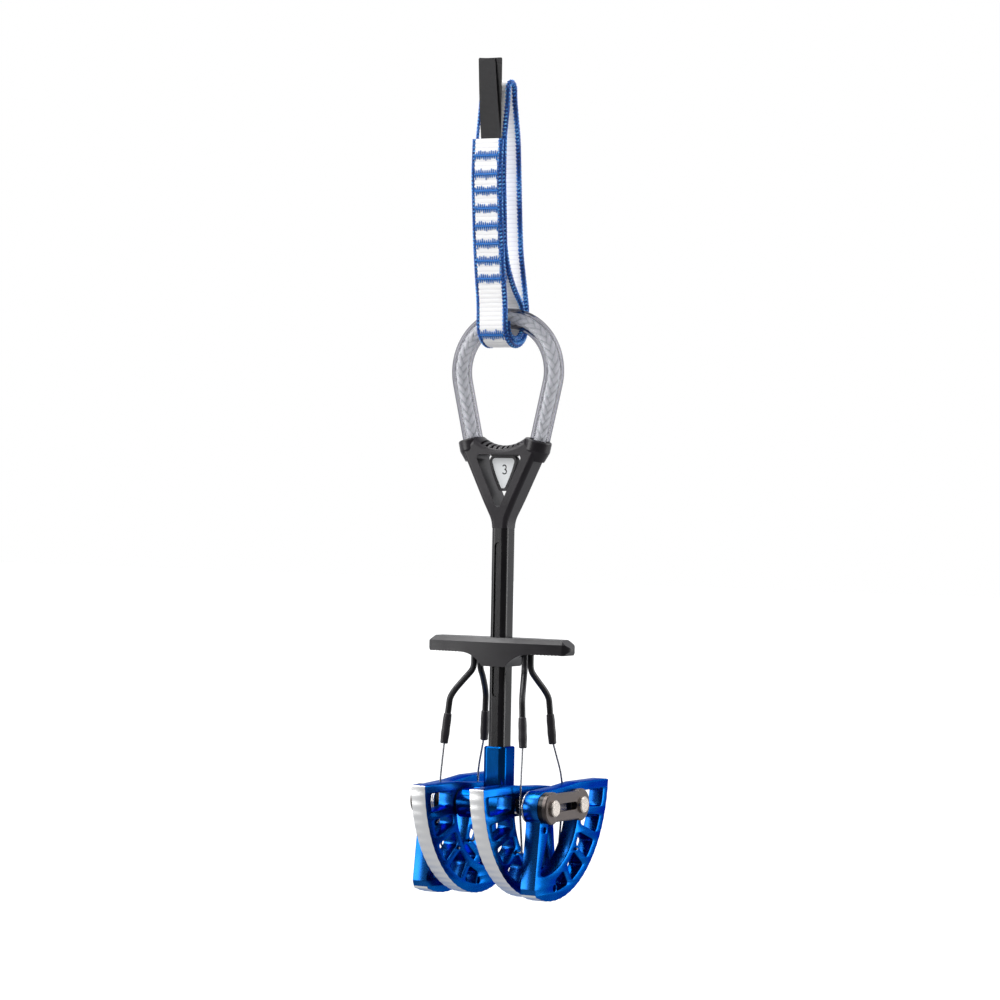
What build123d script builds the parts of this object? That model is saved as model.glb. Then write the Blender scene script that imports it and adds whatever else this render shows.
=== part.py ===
from build123d import *
import math
import os

# A spring loaded camming device: four lobes on two axles, pulled shut by a trigger bar
# that slides on the stem, with a thumb loop and a sewn sling at the other end.
#
# Everything is drawn with X across the crack, Y along the axles and Z up the stem, with
# the origin midway between the axles. On export it moves, so that the row's origin is
# where a carabiner bears in the sling's eye. Sizes are in millimetres.

# Axles and what is stacked along them, from the middle outwards
axle_spacing = 25.14
axle_r = 3.2
running = 0.05  # radial clearance of a lobe on its axle
lobe_t = 7.0
terminal_half = 10.2  # half the terminal's width along the axles
washer_t = 0.6
side_gap = 0.05  # between a lobe and the washer or spacer beside it
lobe_gap = 5.4  # between an inner lobe and the outer lobe beside it
near_spacer_t = 2.1  # the near plate stands further out than the far one
far_spacer_t = 0.8
plate_t = 1.9
axle_end = 1.5  # how far an axle stands out of its end plate
axle_head_r = axle_r + 0.35

half_spacing = axle_spacing / 2
inner_y0 = terminal_half + washer_t + 2 * side_gap
inner_y1 = inner_y0 + lobe_t
outer_y0 = inner_y1 + lobe_gap
outer_y1 = outer_y0 + lobe_t
spacer_y0 = outer_y1 + side_gap
near_plate_y = spacer_y0 + near_spacer_t
far_plate_y = spacer_y0 + far_spacer_t

# Lobe, drawn round its own pivot, opening towards +X. Its gripping edge is a log spiral.
spiral_r0 = 54.9  # radius straight out from the pivot
spiral_rate = 0.208  # tangent of the cam angle
tip_angle = 8.9
heel_angle = -100.0
eye_r = axle_r + 3.9
bore_r = axle_r + running
top_z = 9.1
top_run = 29.4  # the top edge is level from here out to the tip
window_clearance = 1.0
window_r = axle_spacing + axle_r + window_clearance
window_top = axle_r + 0.7
rib_t = 3.5
rim_t = 4.3
spoke_t = 3.6
pocket_r = 3.0
spoke_angles = (-5.2, -19.0, -35.4, -55.4)
first_pocket_top = 5.3
last_pocket_angle = -72.0
face_recess = 0.3
recess_lap = 0.6  # how far the recess reaches past the pockets, over the rib and rim
edge_groove_depth = 0.16  # the gripping edge's long shallow scallops run across the lobe
edge_groove_r = 16.0
edge_groove_pitch = 4.3
edge_groove_margin = 3.0
heel_hole = (-78.94, 5.25, 1.45)  # cam angle, distance inside the edge, radius
spring_hole = (0.17, -9.5, 1.3)
wire_hole_radius = window_r + rib_t + 0.86
wire_hole_angle = -35.4
wire_hole_r = 0.8
close_angle = 86.0  # how far a lobe turns from open to shut

# Trigger, stem and yoke
trigger_travel = 46.2
stem_x = 9.2  # the sheath's size across the crack
stem_y = 7.8
stem_corner = 2.4
stem_z0 = 18.5
groove_w = 3.4
groove_depth = 0.7
groove_z0 = 45.5
groove_z1 = 112.0
neck_top = 24.0
neck_x = stem_x + 2.2
neck_y = stem_y + 3.0
neck_corner = 2.6
boss_r = axle_r + 3.1
trigger_bottom = 58.6
trigger_top = 71.0
trigger_half = 35.5
trigger_end_x = 4.9  # half its depth at the ends
trigger_hub_x = 6.9
trigger_hub_y = 5.8
trigger_wing_bottom = 64.3
trigger_bevel = 2.1
slide_clearance = 0.25
ridge_count = 8
ridge_pitch = 1.7
ridge_y0 = 18.6
cable_bore_top = trigger_top - 3.0
yoke_gap = 0.9  # left between the trigger and the yoke at full travel
yoke_bottom = trigger_top + trigger_travel + yoke_gap
yoke_x = 5.6
yoke_edge_r = 2.0
yoke_shoulder = (19.0, yoke_bottom + 33.9)
saddle_z = yoke_bottom + 35.7
saddle_r = 19.4
saddle_roll = 3.3  # how far its front and back edges roll down
slot_count = 8
slot_turn = 7.3  # degrees between the saddle's slots
slot_w = 1.15
slot_depth = 1.7
window_half = 11.8
window_rise = (7.1, 31.7)  # the window's foot and top above the yoke's bottom
badge_half = 6.1
badge_rise = (17.1, 30.3)
frame_half = 1.5  # half the depth of the frame that holds the plates in the window
frame_wall = 1.1
web_half = 0.5
plate_thick = 0.7
cord_r = 1.55  # the core's two strands inside the stem
pin_r = 2.2
pin_z = 1.2
pin_half = 5.8
pin_turn_r = pin_r + cord_r + 0.05
strand_y = cord_r + 0.07
loop_cord_r = 2.75
tube_r = 4.36
tube_bore = 3.0
loop_r = 22.9
loop_z = yoke_bottom + 67.6
leg_angle = 13.0
crest_z = loop_z + loop_r
socket_z = yoke_bottom + 31.9  # bottom of the loop's sockets in the yoke
collar_r = tube_r + 1.54
collar_top = yoke_bottom + 38.2

# Trigger wires: a bare hooked wire, a crimped sleeve and a jacketed cable
wire_r = 0.45
crimp_r = 1.85
cable_r = 1.35
cable_top = (2.6, 12.6, trigger_bottom + 4.0)
inner_crimp = ((15.0, 19.6, 25.0), (14.0, 18.5, 38.0))  # its lower and upper ends
outer_crimp = ((15.0, 17.2, 25.0), (14.0, 16.3, 38.0))
cable_bore_r = 1.9
outer_lane = 21.2  # Y of the outer lobe's wire in the gap
inner_lane = 20.0

# Torsion springs and the bushes that they are wound round
bush_r = axle_r + 0.7
spring_wire_r = 0.42
coil_r = bush_r + 2.5
coil_pitch = 0.88
coil_margin = 0.15
# The leg from the lobe's hole touches the coil at this angle
spring_touch = math.degrees(math.atan2(spring_hole[1], spring_hole[0])
                            + math.acos(coil_r / math.hypot(*spring_hole[:2])))

# Sling
sling_t = 2.5
sling_w = 15.0
sling_y = 3.0  # middle of the webbing along the loop's tube
ply_spacing = 2.65
inner_turn = tube_r + 2.19  # half the width of the webbing's inner turn round the tube
outer_turn = inner_turn + ply_spacing
turn_z = crest_z - tube_r - 4.64
tack_rises = (68.9, 60.9, 53.9, 46.4, 38.9, 31.4, 24.2, 16.6)  # above the loop's crest
tack_w = 11.6
tack_h = 2.8
tack_proud = 0.35
last_tack_angle = 30.0
label_t = 1.2
label_x = -14.4
label_z0 = crest_z + 77.4  # just above the front ply's cut end
label_z1 = crest_z + 111.4
eye_bearing = (-7.3, 0.0, crest_z + 99.65)


def slab(face, y_low, y_high):
    """A face drawn in X and Z, made solid from one Y to another."""
    return extrude(Plane.XZ.offset(-y_high) * face, y_high - y_low)


def slab_x(face, x_low, x_high):
    """A face drawn in Y and Z, made solid from one X to another."""
    return extrude(Plane.YZ.offset(x_low) * face, x_high - x_low)


def rod_y(x, z, radius, y_low, y_high):
    """A cylinder along Y."""
    return slab(Pos(x, z) * Circle(radius), y_low, y_high)


def tube_along(points, radii, radius):
    """A round tube through 3-D points, with an arc at each inner point."""
    path = FilletPolyline(*points, radius=radii)
    start = Plane(origin=path @ 0, z_dir=path % 0)
    return sweep(start * Circle(radius), path=path)


def polar(radius, degrees):
    """X and Z of a point given by radius and angle."""
    angle = math.radians(degrees)
    return (radius * math.cos(angle), radius * math.sin(angle))


def spiral(degrees, inset=0.0):
    """A point of the gripping edge, or of a line that lies inset from it."""
    radius = spiral_r0 * math.exp(spiral_rate * math.radians(degrees)) - inset
    return polar(radius, degrees)


def spiral_line(from_degrees, to_degrees, inset=0.0, count=9):
    """The spiral between two angles as one smooth curve."""
    step = (to_degrees - from_degrees) / (count - 1)
    return Spline(*[spiral(from_degrees + i * step, inset) for i in range(count)])


def save(name, *solids):
    """Moves a node from the axles' frame to the row's and writes it."""
    home = Pos(-eye_bearing[0], -eye_bearing[1], -eye_bearing[2])
    shape = home * (solids[0] if len(solids) == 1 else Compound(children=list(solids)))
    export_step(shape, f"parts/{name}.step")


# --- cam lobes


def edge_grooves():
    """The scallops in the gripping edge, at even steps along the spiral."""
    slant = math.hypot(1, spiral_rate)
    first = spiral_r0 * math.exp(spiral_rate * math.radians(heel_angle))
    last = spiral_r0 * math.exp(spiral_rate * math.radians(tip_angle))
    length = (last - first) / spiral_rate * slant - 2 * edge_groove_margin
    count = round(length / edge_groove_pitch)
    grooves = []
    for i in range(count + 1):
        along = edge_groove_margin + length * i / count
        radius = first + along * spiral_rate / slant
        degrees = math.degrees(math.log(radius / spiral_r0) / spiral_rate)
        grooves.append(Pos(*polar(radius + edge_groove_r - edge_groove_depth, degrees))
                       * Circle(edge_groove_r))
    return grooves


def lobe_outline():
    """Outer edge of a lobe: spiral, heel, heel arm, eye and top edge."""
    heel, tip = spiral(heel_angle), spiral(tip_angle)
    edge = spiral_line(tip_angle, heel_angle)
    rest = Polyline(heel, (heel[0] - 1.3, heel[1] + 3.2), (-4.4, -9.0), (-4.0, 0.0), (0.0, eye_r),
                    (15.2, 7.8), (top_run, top_z), (tip[0] - 1.8, top_z), tip)
    outline = make_face(Curve() + [edge, rest]) + Circle(eye_r)
    return outline


def lobe_window():
    """The opening that the other lobe's axle travels through."""
    top_angle = math.degrees(math.asin(window_top / window_r))
    arc = ThreePointArc(polar(window_r, top_angle), polar(window_r, -40), polar(window_r, -90))
    rest = Polyline(polar(window_r, -90), (-2.6, -28.6), (-2.0, -24.6), (0.3, -18.5), (2.8, -12.4),
                    (3.1, -7.6), (7.2, -3.4), (8.4, 1.6), (13.0, 3.5), (20.0, window_top),
                    polar(window_r, top_angle))
    return fillet(make_face(Curve() + [arc, rest]).vertices(), 1.2)


def lobe_pockets():
    """The through pockets between the rib round the window and the rim."""
    inner = window_r + rib_t
    ring = make_face(Curve() + [
        spiral_line(7.0, last_pocket_angle, rim_t),
        Line(spiral(last_pocket_angle, rim_t), polar(inner, last_pocket_angle)),
        ThreePointArc(polar(inner, last_pocket_angle), polar(inner, -30), polar(inner, 7.0)),
        Line(polar(inner, 7.0), spiral(7.0, rim_t)),
    ])
    ring -= Pos(45, first_pocket_top + 5) * Rectangle(60, 10)
    for angle in spoke_angles:
        ring -= Rot(0, 0, angle) * Pos(40, 0) * Rectangle(40, spoke_t)
    pockets = []
    for pocket in ring.faces():
        shortest = min(edge.length for edge in pocket.edges())
        pockets.append(fillet(pocket.vertices(), min(pocket_r, 0.42 * shortest)))
    return pockets


def lobe_recess():
    """The shallow step just inside the rim, over the pockets and their spokes."""
    inner = window_r + rib_t - recess_lap
    inset = rim_t - recess_lap
    last = last_pocket_angle - 2
    return make_face(Curve() + [
        spiral_line(4.0, last, inset),
        Line(spiral(last, inset), polar(inner, last)),
        ThreePointArc(polar(inner, last), polar(inner, -30), polar(inner, 4.0)),
        Line(polar(inner, 4.0), spiral(4.0, inset)),
    ])


def make_lobe():
    """One lobe, its pivot on the Y axis, from Y 0 to its thickness."""
    profile = lobe_outline() - Circle(bore_r) - lobe_window()
    for cut in lobe_pockets() + edge_grooves():
        profile -= cut
    holes = [(spiral(heel_hole[0], heel_hole[1]), heel_hole[2]), (spring_hole[:2], spring_hole[2]),
             (polar(wire_hole_radius, wire_hole_angle), wire_hole_r)]
    for centre, radius in holes:
        profile -= Pos(*centre) * Circle(radius)
    lobe = slab(profile, 0, lobe_t)
    recess = lobe_recess()
    lobe -= slab(recess, -1, face_recess)
    lobe -= slab(recess, lobe_t - face_recess, lobe_t + 1)
    return lobe


def place_lobe(lobe, outer, far):
    """Sets a lobe on its axle: the outer pair opens to +X and the inner pair to -X."""
    placed = Pos(-half_spacing, outer_y0 if outer else inner_y0, 0) * lobe
    if not outer:
        placed = mirror(placed, Plane.YZ)
    if not far:
        placed = mirror(placed, Plane.XZ)
    return placed


# --- axles, plates, spacers, bushes and springs


def make_axle(x):
    """A shaft with a peened and bevelled head outside each end plate."""
    near_end, far_end = near_plate_y + plate_t, far_plate_y + plate_t
    axle = rod_y(x, 0, axle_r, -near_end, far_end)
    head = rod_y(x, 0, axle_head_r, 0, axle_end)
    head = chamfer(head.edges().filter_by(GeomType.CIRCLE).sort_by(Axis.Y)[-1], 0.4)
    axle += Pos(0, far_end, 0) * head
    return axle + Pos(0, -near_end, 0) * mirror(head, Plane.XZ)


def make_end_plate():
    """Dog-bone plate that ties the two axles' ends together, with a slot at its middle."""
    end_r = 6.9
    waist = 6.0
    ends = Pos(-half_spacing, 0) * Circle(end_r) + Pos(half_spacing, 0) * Circle(end_r)
    bar = Rectangle(axle_spacing, 2 * waist)
    slot = SlotOverall(16.4, 3.4)
    plate = slab(ends + bar - slot, 0, plate_t)
    rim = plate.faces().sort_by(Axis.Y)[-1].outer_wire().edges()
    plate = chamfer(rim, 0.5)
    for x in (-half_spacing, half_spacing):
        plate -= rod_y(x, 0, axle_r + 0.01, 0, plate_t)
    return plate


def make_ring(x, outer_r, y_low, y_high):
    """A plain ring on one axle."""
    face = Pos(x, 0) * (Circle(outer_r) - Circle(axle_r + 0.02))
    return slab(face, y_low, y_high)


def make_spring(moving_y, fixed_low, hook_y):
    """Torsion spring on the left axle, from the lobe's small hole round the coil to a leg
    under the other axle's bush. The coil's fixed end lies below its moving end in Y if
    fixed_low, and above it if not."""
    hole_x, hole_z, _ = spring_hole
    touch = spring_touch
    turned = 270 + 360 - touch
    length = turned / 360 * coil_pitch
    if fixed_low:
        coil = Plane.XZ.offset(-moving_y) * (Rot(0, 0, touch) * Helix(coil_pitch, length, coil_r))
    else:
        helix = Helix(coil_pitch, length, coil_r, lefthand=True)
        coil = Plane.XZ.offset(-moving_y - length) * (Rot(0, 0, 270) * helix)
    moving_end, fixed_end = (coil @ 0, coil @ 1) if fixed_low else (coil @ 1, coil @ 0)
    hook = FilletPolyline((hole_x, hook_y, hole_z), (hole_x, moving_end.Y, hole_z),
                          moving_end, radius=0.5)
    leg_end = (axle_spacing + 1.8, fixed_end.Y, -(bush_r + spring_wire_r + 0.08))
    leg = Line(fixed_end, leg_end)
    path = Wire(hook.edges() + coil.edges() + leg.edges())
    section = Plane(origin=path @ 0, z_dir=path % 0) * Circle(spring_wire_r)
    return Pos(-half_spacing, 0, 0) * sweep(section, path=path)


# --- stem


def cord_route():
    """Corners of the core cord's route in Y and Z: collar, stem, pin, stem, collar."""
    socket_y = leg_y(socket_z)
    half = [(socket_y, socket_z), (leg_y(socket_z - 2.4), socket_z - 2.4),
            (strand_y, yoke_bottom + 3.6), (strand_y, 14.5), (pin_turn_r, 8.5),
            (pin_turn_r, pin_z - pin_turn_r)]
    return half + [(-y, z) for y, z in reversed(half)]


def make_stem_cord(radius):
    """The braided core: two strands in the stem, turned round the pin in the terminal."""
    corners = [(0, y, z) for y, z in cord_route()]
    turn = pin_turn_r - 0.02
    return tube_along(corners, [8, 12, 14, 8, turn, turn, 8, 14, 12, 8], radius)


def make_terminal():
    """Bosses round both axles, a web between them and a neck that holds the stem."""
    bosses = Pos(-half_spacing, 0) * Circle(boss_r) + Pos(half_spacing, 0) * Circle(boss_r)
    web = Pos(0, -0.8) * Rectangle(axle_spacing, 9.6)
    body = slab(bosses + web, -terminal_half, terminal_half)
    shoulder = Pos(0, 0, 2) * Box(neck_x + 2.4, 2 * terminal_half, 8.4)
    shoulder = chamfer(shoulder.edges().group_by(Axis.Z)[-1], 1.6)
    neck = extrude(RectangleRounded(neck_x, neck_y, neck_corner), neck_top)
    neck = chamfer(neck.edges().group_by(Axis.Z)[-1], 0.5)
    body += shoulder + neck
    for x in (-half_spacing, half_spacing):
        body -= rod_y(x, 0, axle_r + 0.01, -terminal_half, terminal_half)
    socket = RectangleRounded(stem_x + 0.04, stem_y + 0.04, stem_corner)
    body -= Pos(0, 0, stem_z0) * extrude(socket, neck_top)
    body -= make_stem_cord(cord_r + 0.05)
    pin = make_core_pin(0.01)
    return body - pin


def make_core_pin(extra=0.0):
    """The pin that the core turns round."""
    return slab_x(Pos(0, pin_z) * Circle(pin_r + extra), -pin_half, pin_half)


def make_sheath():
    """Moulded sheath of the stem, with a slot for the two strands and a groove each side."""
    tube = RectangleRounded(stem_x, stem_y, stem_corner)
    bore = Rot(0, 0, 90) * SlotOverall(2 * (strand_y + cord_r + 0.06), 2 * (cord_r + 0.06))
    sheath = Pos(0, 0, stem_z0) * extrude(tube - bore, yoke_bottom - stem_z0)
    groove = Pos(0, (groove_z0 + groove_z1) / 2) * Rot(0, 0, 90) * SlotOverall(
        groove_z1 - groove_z0, groove_w)
    for low in (-stem_x / 2 - 1, stem_x / 2 - groove_depth):
        sheath -= slab_x(groove, low, low + 1 + groove_depth)
    return sheath


# --- yoke and thumb loop


def leg_y(z):
    """Y of the loop's straight leg at a height."""
    tangent_y = loop_r * math.cos(math.radians(leg_angle))
    tangent_z = loop_z - loop_r * math.sin(math.radians(leg_angle))
    return tangent_y - (tangent_z - z) * math.tan(math.radians(leg_angle))


def loop_path(z_start):
    """The thumb loop's centre line: a leg, the round of the loop and the other leg."""
    angle = math.radians(leg_angle)
    y, z = loop_r * math.cos(angle), loop_z - loop_r * math.sin(angle)
    arc = ThreePointArc((0, y, z), (0, 0, loop_z + loop_r), (0, -y, z))
    left = Line((0, leg_y(z_start), z_start), (0, y, z))
    right = Line((0, -y, z), (0, -leg_y(z_start), z_start))
    return Wire([left, arc, right])


def along_loop(section, z_start):
    """Sweeps a section along the thumb loop."""
    path = loop_path(z_start)
    return sweep(Plane(origin=path @ 0, z_dir=path % 0) * section, path=path)


def plate_outline():
    """The pick-shaped outline of the size plate."""
    tip_z, top_z = (yoke_bottom + rise for rise in badge_rise)
    middle = ((badge_half + 0.9) / 2 + 0.5, (tip_z + top_z) / 2)
    right = ThreePointArc((badge_half, top_z), middle, (0.9, tip_z))
    left = ThreePointArc((-0.9, tip_z), (-middle[0], middle[1]), (-badge_half, top_z))
    face = make_face(Curve() + [right, Line((0.9, tip_z), (-0.9, tip_z)), left,
                                Line((-badge_half, top_z), (badge_half, top_z))])
    return fillet(face.vertices().group_by(Axis.Y)[-1], 1.6)


def make_yoke():
    """Y-shaped moulding with a collar for each leg, a slotted saddle and a window, in which
    a frame holds the two plates back to back."""
    saddle_end = leg_y(collar_top) - collar_r * 0.9
    rise = collar_top + 1.2
    side = FilletPolyline((stem_y / 2, yoke_bottom), (stem_y / 2 + 0.1, yoke_bottom + 3.4),
                          yoke_shoulder, (saddle_end, rise), radius=[11.0, 1.5])
    ridge = Line((saddle_end, rise), (-saddle_end, rise))
    foot = Line((-stem_y / 2, yoke_bottom), (stem_y / 2, yoke_bottom))
    face = make_face(Curve() + [side, ridge, mirror(side, Plane.YZ), foot])
    body = slab_x(face, -yoke_x, yoke_x)
    front = FilletPolyline((stem_x / 2, yoke_bottom), (yoke_x, yoke_bottom + 12), (yoke_x, rise + 1),
                           radius=60.0)
    back = mirror(front, Plane.YZ)
    front_face = make_face(Curve() + [front, back, Line(front @ 1, back @ 1),
                                      Line(front @ 0, back @ 0)])
    body &= slab(front_face, -30, 30)
    rims = [edge for edge in body.edges() if abs(edge.center().X) > 4
            and edge.bounding_box().size.Z > 0.5]
    body = fillet(ShapeList(rims), yoke_edge_r) - make_saddle()
    for hand in (-1, 1):
        foot_z = collar_top - 8.8
        low, high = (0, hand * leg_y(foot_z), foot_z), (0, hand * leg_y(collar_top), collar_top)
        axis = Vector(*high) - Vector(*low)
        cone_h = axis.length - 4.6
        collar = Pos(0, 0, cone_h / 2) * Cone(collar_r - 1.5, collar_r, cone_h)
        rim = Pos(0, 0, cone_h + 2.3) * Cylinder(collar_r, 4.6)
        collar += fillet(rim.edges().group_by(Axis.Z)[-1], 0.9)
        body += Plane(origin=low, z_dir=axis) * collar
    foot_z, top_z = (yoke_bottom + rise for rise in window_rise)
    window = make_face(Polyline((window_half, top_z), (-window_half, top_z), (0, foot_z), close=True))
    body -= slab_x(fillet(window.vertices(), 1.5), -yoke_x - 1, yoke_x + 1)
    body += make_plate_frame()
    body -= along_loop(Circle(tube_r + 0.02), socket_z)
    return body - make_stem_cord(cord_r + 0.05)


def make_saddle():
    """What the saddle leaves out: a waisted drum turned about an axis across the crack, so
    that its front and back edges roll over, and the teeth that cut its slots."""
    axis_z = saddle_z + saddle_r
    low_z = saddle_z - saddle_roll
    roll = EllipticalCenterArc((0, low_z), yoke_x, saddle_roll, 0, arc_size=180)
    sides = Polyline((-yoke_x, low_z), (-9, low_z), (-9, axis_z), (9, axis_z), (9, low_z),
                     (yoke_x, low_z))
    drum = revolve(Plane.XZ * make_face(Curve() + [roll, sides]), Axis((0, 0, axis_z), (1, 0, 0)))
    tooth = Pos(0, 0, -saddle_r - slot_depth + 2) * Box(2 * yoke_x + 4, slot_w, 4)
    for i in range(slot_count):
        turn = (i - (slot_count - 1) / 2) * slot_turn
        drum += Pos(0, 0, axis_z) * Rot(turn, 0, 0) * tooth
    return drum


def make_plate_frame():
    """The frame round the plates, hung from the window's top edge, with a web between them."""
    outline = plate_outline()
    around = offset(outline, frame_wall)
    hanger = Pos(0, yoke_bottom + window_rise[1]) * Rectangle(2 * badge_half, 1.4)
    frame = slab_x(around + hanger, -frame_half, frame_half)
    for low in (-frame_half, web_half):
        frame -= slab_x(outline, low, low + frame_half - web_half)
    return frame


def make_size_plate(front):
    """A pale pick-shaped plate let into the window's frame, one on each side."""
    low = -web_half - plate_thick if front else web_half
    return slab_x(offset(plate_outline(), -0.1), low, low + plate_thick)


# --- trigger and its wires


def make_trigger():
    """The bar that two fingers pull: a lens in plan, with a bevelled top and a hub that
    narrows downwards and slides on the stem."""
    flare = TangentArc((17.0, trigger_wing_bottom), (trigger_hub_y, trigger_bottom), tangent=(-1, 0))
    end = Polyline((0, trigger_top), (trigger_half - 4.2, trigger_top),
                   (trigger_half, trigger_top - 3.6), (trigger_half, trigger_wing_bottom + 2.2),
                   (trigger_half - 2.2, trigger_wing_bottom), (17.0, trigger_wing_bottom))
    half = Curve() + [end, flare, Line(flare @ 1, (0, trigger_bottom))]
    outline = make_face(half + mirror(half, Plane.YZ))
    side = ThreePointArc((trigger_end_x, -trigger_half + 3), (trigger_hub_x, 0),
                         (trigger_end_x, trigger_half - 3))
    end = ThreePointArc(side @ 1, (0, trigger_half), (-trigger_end_x, trigger_half - 3))
    plan = make_face(Curve() + [side, end, mirror(side, Plane.YZ), mirror(end, Plane.XZ)])
    lens = Pos(0, 0, trigger_bottom) * extrude(plan, trigger_top - trigger_bevel - trigger_bottom)
    lens += Pos(0, 0, trigger_top - trigger_bevel) * extrude(plan, trigger_bevel, taper=45)
    bar = slab_x(outline, -trigger_hub_x - 1, trigger_hub_x + 1) & lens
    for i in range(ridge_count):
        for hand in (-1, 1):
            y = hand * (ridge_y0 + i * ridge_pitch)
            bar -= slab_x(Pos(y, trigger_wing_bottom - 0.3) * Circle(0.7), -8, 8)
    hole = RectangleRounded(stem_x + 2 * slide_clearance, stem_y + 2 * slide_clearance,
                            stem_corner + slide_clearance)
    bar -= Pos(0, 0, trigger_bottom - 1) * extrude(hole, 20)
    x, y, _ = cable_top
    for side_x in (-x, x):
        for side_y in (-y, y):
            bore = Pos(side_x, side_y, trigger_bottom - 1) * Cylinder(
                cable_bore_r, cable_bore_top - trigger_bottom + 1,
                align=(Align.CENTER, Align.CENTER, Align.MIN))
            bar -= bore
    return bar


def make_wire(tip_y, lane_y, crimp_low):
    """Bare wire on the far side: through the lobe's hole, up the gap and past the axle."""
    hole_x, hole_z = polar(wire_hole_radius, wire_hole_angle)
    hole_x -= half_spacing
    past_axle = half_spacing + bush_r + wire_r + 0.4
    points = [(hole_x, tip_y, hole_z), (hole_x, lane_y, hole_z), (past_axle, lane_y, -1.0),
              (past_axle - 0.5, lane_y, 11.0), crimp_low]
    return tube_along(points, [1.2, 30.0, 40.0], wire_r)


def make_crimp(crimp_low, crimp_high):
    """The sleeve crimped over the wire and the cable's end."""
    axis = Vector(*crimp_high) - Vector(*crimp_low)
    base = Plane(origin=crimp_low, z_dir=axis)
    sleeve = base * Pos(0, 0, axis.length / 2) * Cylinder(crimp_r, axis.length)
    return chamfer(sleeve.edges().filter_by(GeomType.CIRCLE), 0.4)


def make_cable(crimp_low, crimp_high):
    """Jacketed cable from the crimp to its bore in the trigger."""
    axis = (Vector(*crimp_high) - Vector(*crimp_low)).normalized()
    first = Vector(*crimp_high) + axis * 6.5
    top = Vector(*cable_top)
    below = Vector(6.2, (crimp_high[1] + cable_top[1]) / 2 - 1.2, cable_top[2] - 9.0)
    points = [crimp_high, tuple(first), tuple(below), tuple(top - Vector(0, 0, 4.6)), cable_top]
    return tube_along(points, [7.0, 9.0, 5.5], cable_r)


# --- sling


def sling_route():
    """Corners and radii of the webbing's middle line in X and Z, from the cut end at the
    front, down and round the loop's tube, up the back, over the eye and down inside."""
    front = [(-15.1, 77.2), (-15.4, 59.4), (-13.4, 34.4), (-outer_turn, 5.4)]
    back = [(outer_turn, 4.4), (3.6, 27.4), (1.3, 53.4), (-0.4, 77.4), (-4.2, 94.4),
            (-4.5, 100.9), (-10.2, 100.9), (-10.1, 93.4)]
    inside = [(x + ply_spacing, z) for x, z in front[:3]] + [(-8.3, 18.4), (inner_turn, 4.6)]
    front, back, inside = ([(x, crest_z + z) for x, z in run] for run in (front, back, inside))
    around = [(-outer_turn, turn_z - ply_spacing), (outer_turn, turn_z - ply_spacing)]
    under = [(inner_turn, turn_z), (-inner_turn, turn_z), (-inner_turn, turn_z + 7.5)]
    radii = [60, 60, 60, 8.9, 8.9, 12, 60, 60, 60, 25, 2.7, 2.7, 25, 60, 60, 60, 40, 8, 6.2, 6.2]
    return front + around + back + inside + under, radii


def make_sling():
    """One strip of webbing, folded on itself round the thumb loop."""
    points, radii = sling_route()
    path = FilletPolyline(*[(x, sling_y, z) for x, z in points], radius=radii)
    section = Plane(origin=path @ 0, x_dir=(0, 1, 0), z_dir=path % 0) * Rectangle(sling_w, sling_t)
    return sweep(section, path=path)


def sling_x(z, ply):
    """X of a ply's middle at a height: 0 is the front ply, 1 the middle one, 2 the back."""
    points, _ = sling_route()
    line = {0: points[:4], 1: points[13:17], 2: points[6:11]}[ply]
    line = sorted(line, key=lambda point: point[1])
    for low, high in zip(line, line[1:]):
        if low[1] <= z <= high[1]:
            return low[0] + (high[0] - low[0]) * (z - low[1]) / (high[1] - low[1])
    return line[-1][0]


def make_bar_tacks(sling):
    """Rows of zigzag stitches that sew the front ply to the middle one, and the end."""
    tacks = []
    for z in (crest_z + rise for rise in tack_rises):
        low = sling_x(z, 0) - sling_t / 2 - tack_proud
        high = sling_x(z, 1) + sling_t / 2 + tack_proud
        tack = Pos((low + high) / 2, sling_y - 0.2, z) * Box(high - low, tack_w, tack_h)
        tacks += (tack - sling).solids()
    # The last tack holds the inner end, low on the front of the turn
    middle = outer_turn - ply_spacing / 2
    tack = Pos(-middle, 0, 0) * Box(ply_spacing + sling_t + 2 * tack_proud, tack_w, tack_h)
    tack = Pos(0, sling_y - 0.2, turn_z + inner_turn) * Rot(0, -last_tack_angle, 0) * tack
    return tacks + (tack - sling).solids()


def make_label():
    """A bare black tab, folded over and sewn in between the two plies at the front."""
    corners = [(sling_y - 4.9, label_z0), (sling_y + 4.7, label_z0), (sling_y + 6.3, label_z1),
               (sling_y - 5.1, label_z1)]
    face = fillet(make_face(Polyline(*corners, close=True)).vertices().group_by(Axis.Y)[-1], 0.6)
    tab = slab_x(face, -label_t / 2, label_t / 2)
    return Pos(label_x, 0, 0) * tab


# --- build

os.makedirs("parts", exist_ok=True)

lobe = make_lobe()
save("lobe_1", place_lobe(lobe, True, False))
save("lobe_2", place_lobe(lobe, False, False))
save("lobe_3", place_lobe(lobe, False, True))
save("lobe_4", place_lobe(lobe, True, True))
save("left_axle", make_axle(-half_spacing))
save("right_axle", make_axle(half_spacing))
plate = make_end_plate()
save("far_end_plate", Pos(0, far_plate_y, 0) * plate)
save("near_end_plate", Pos(0, -near_plate_y, 0) * mirror(plate, Plane.XZ))

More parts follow.
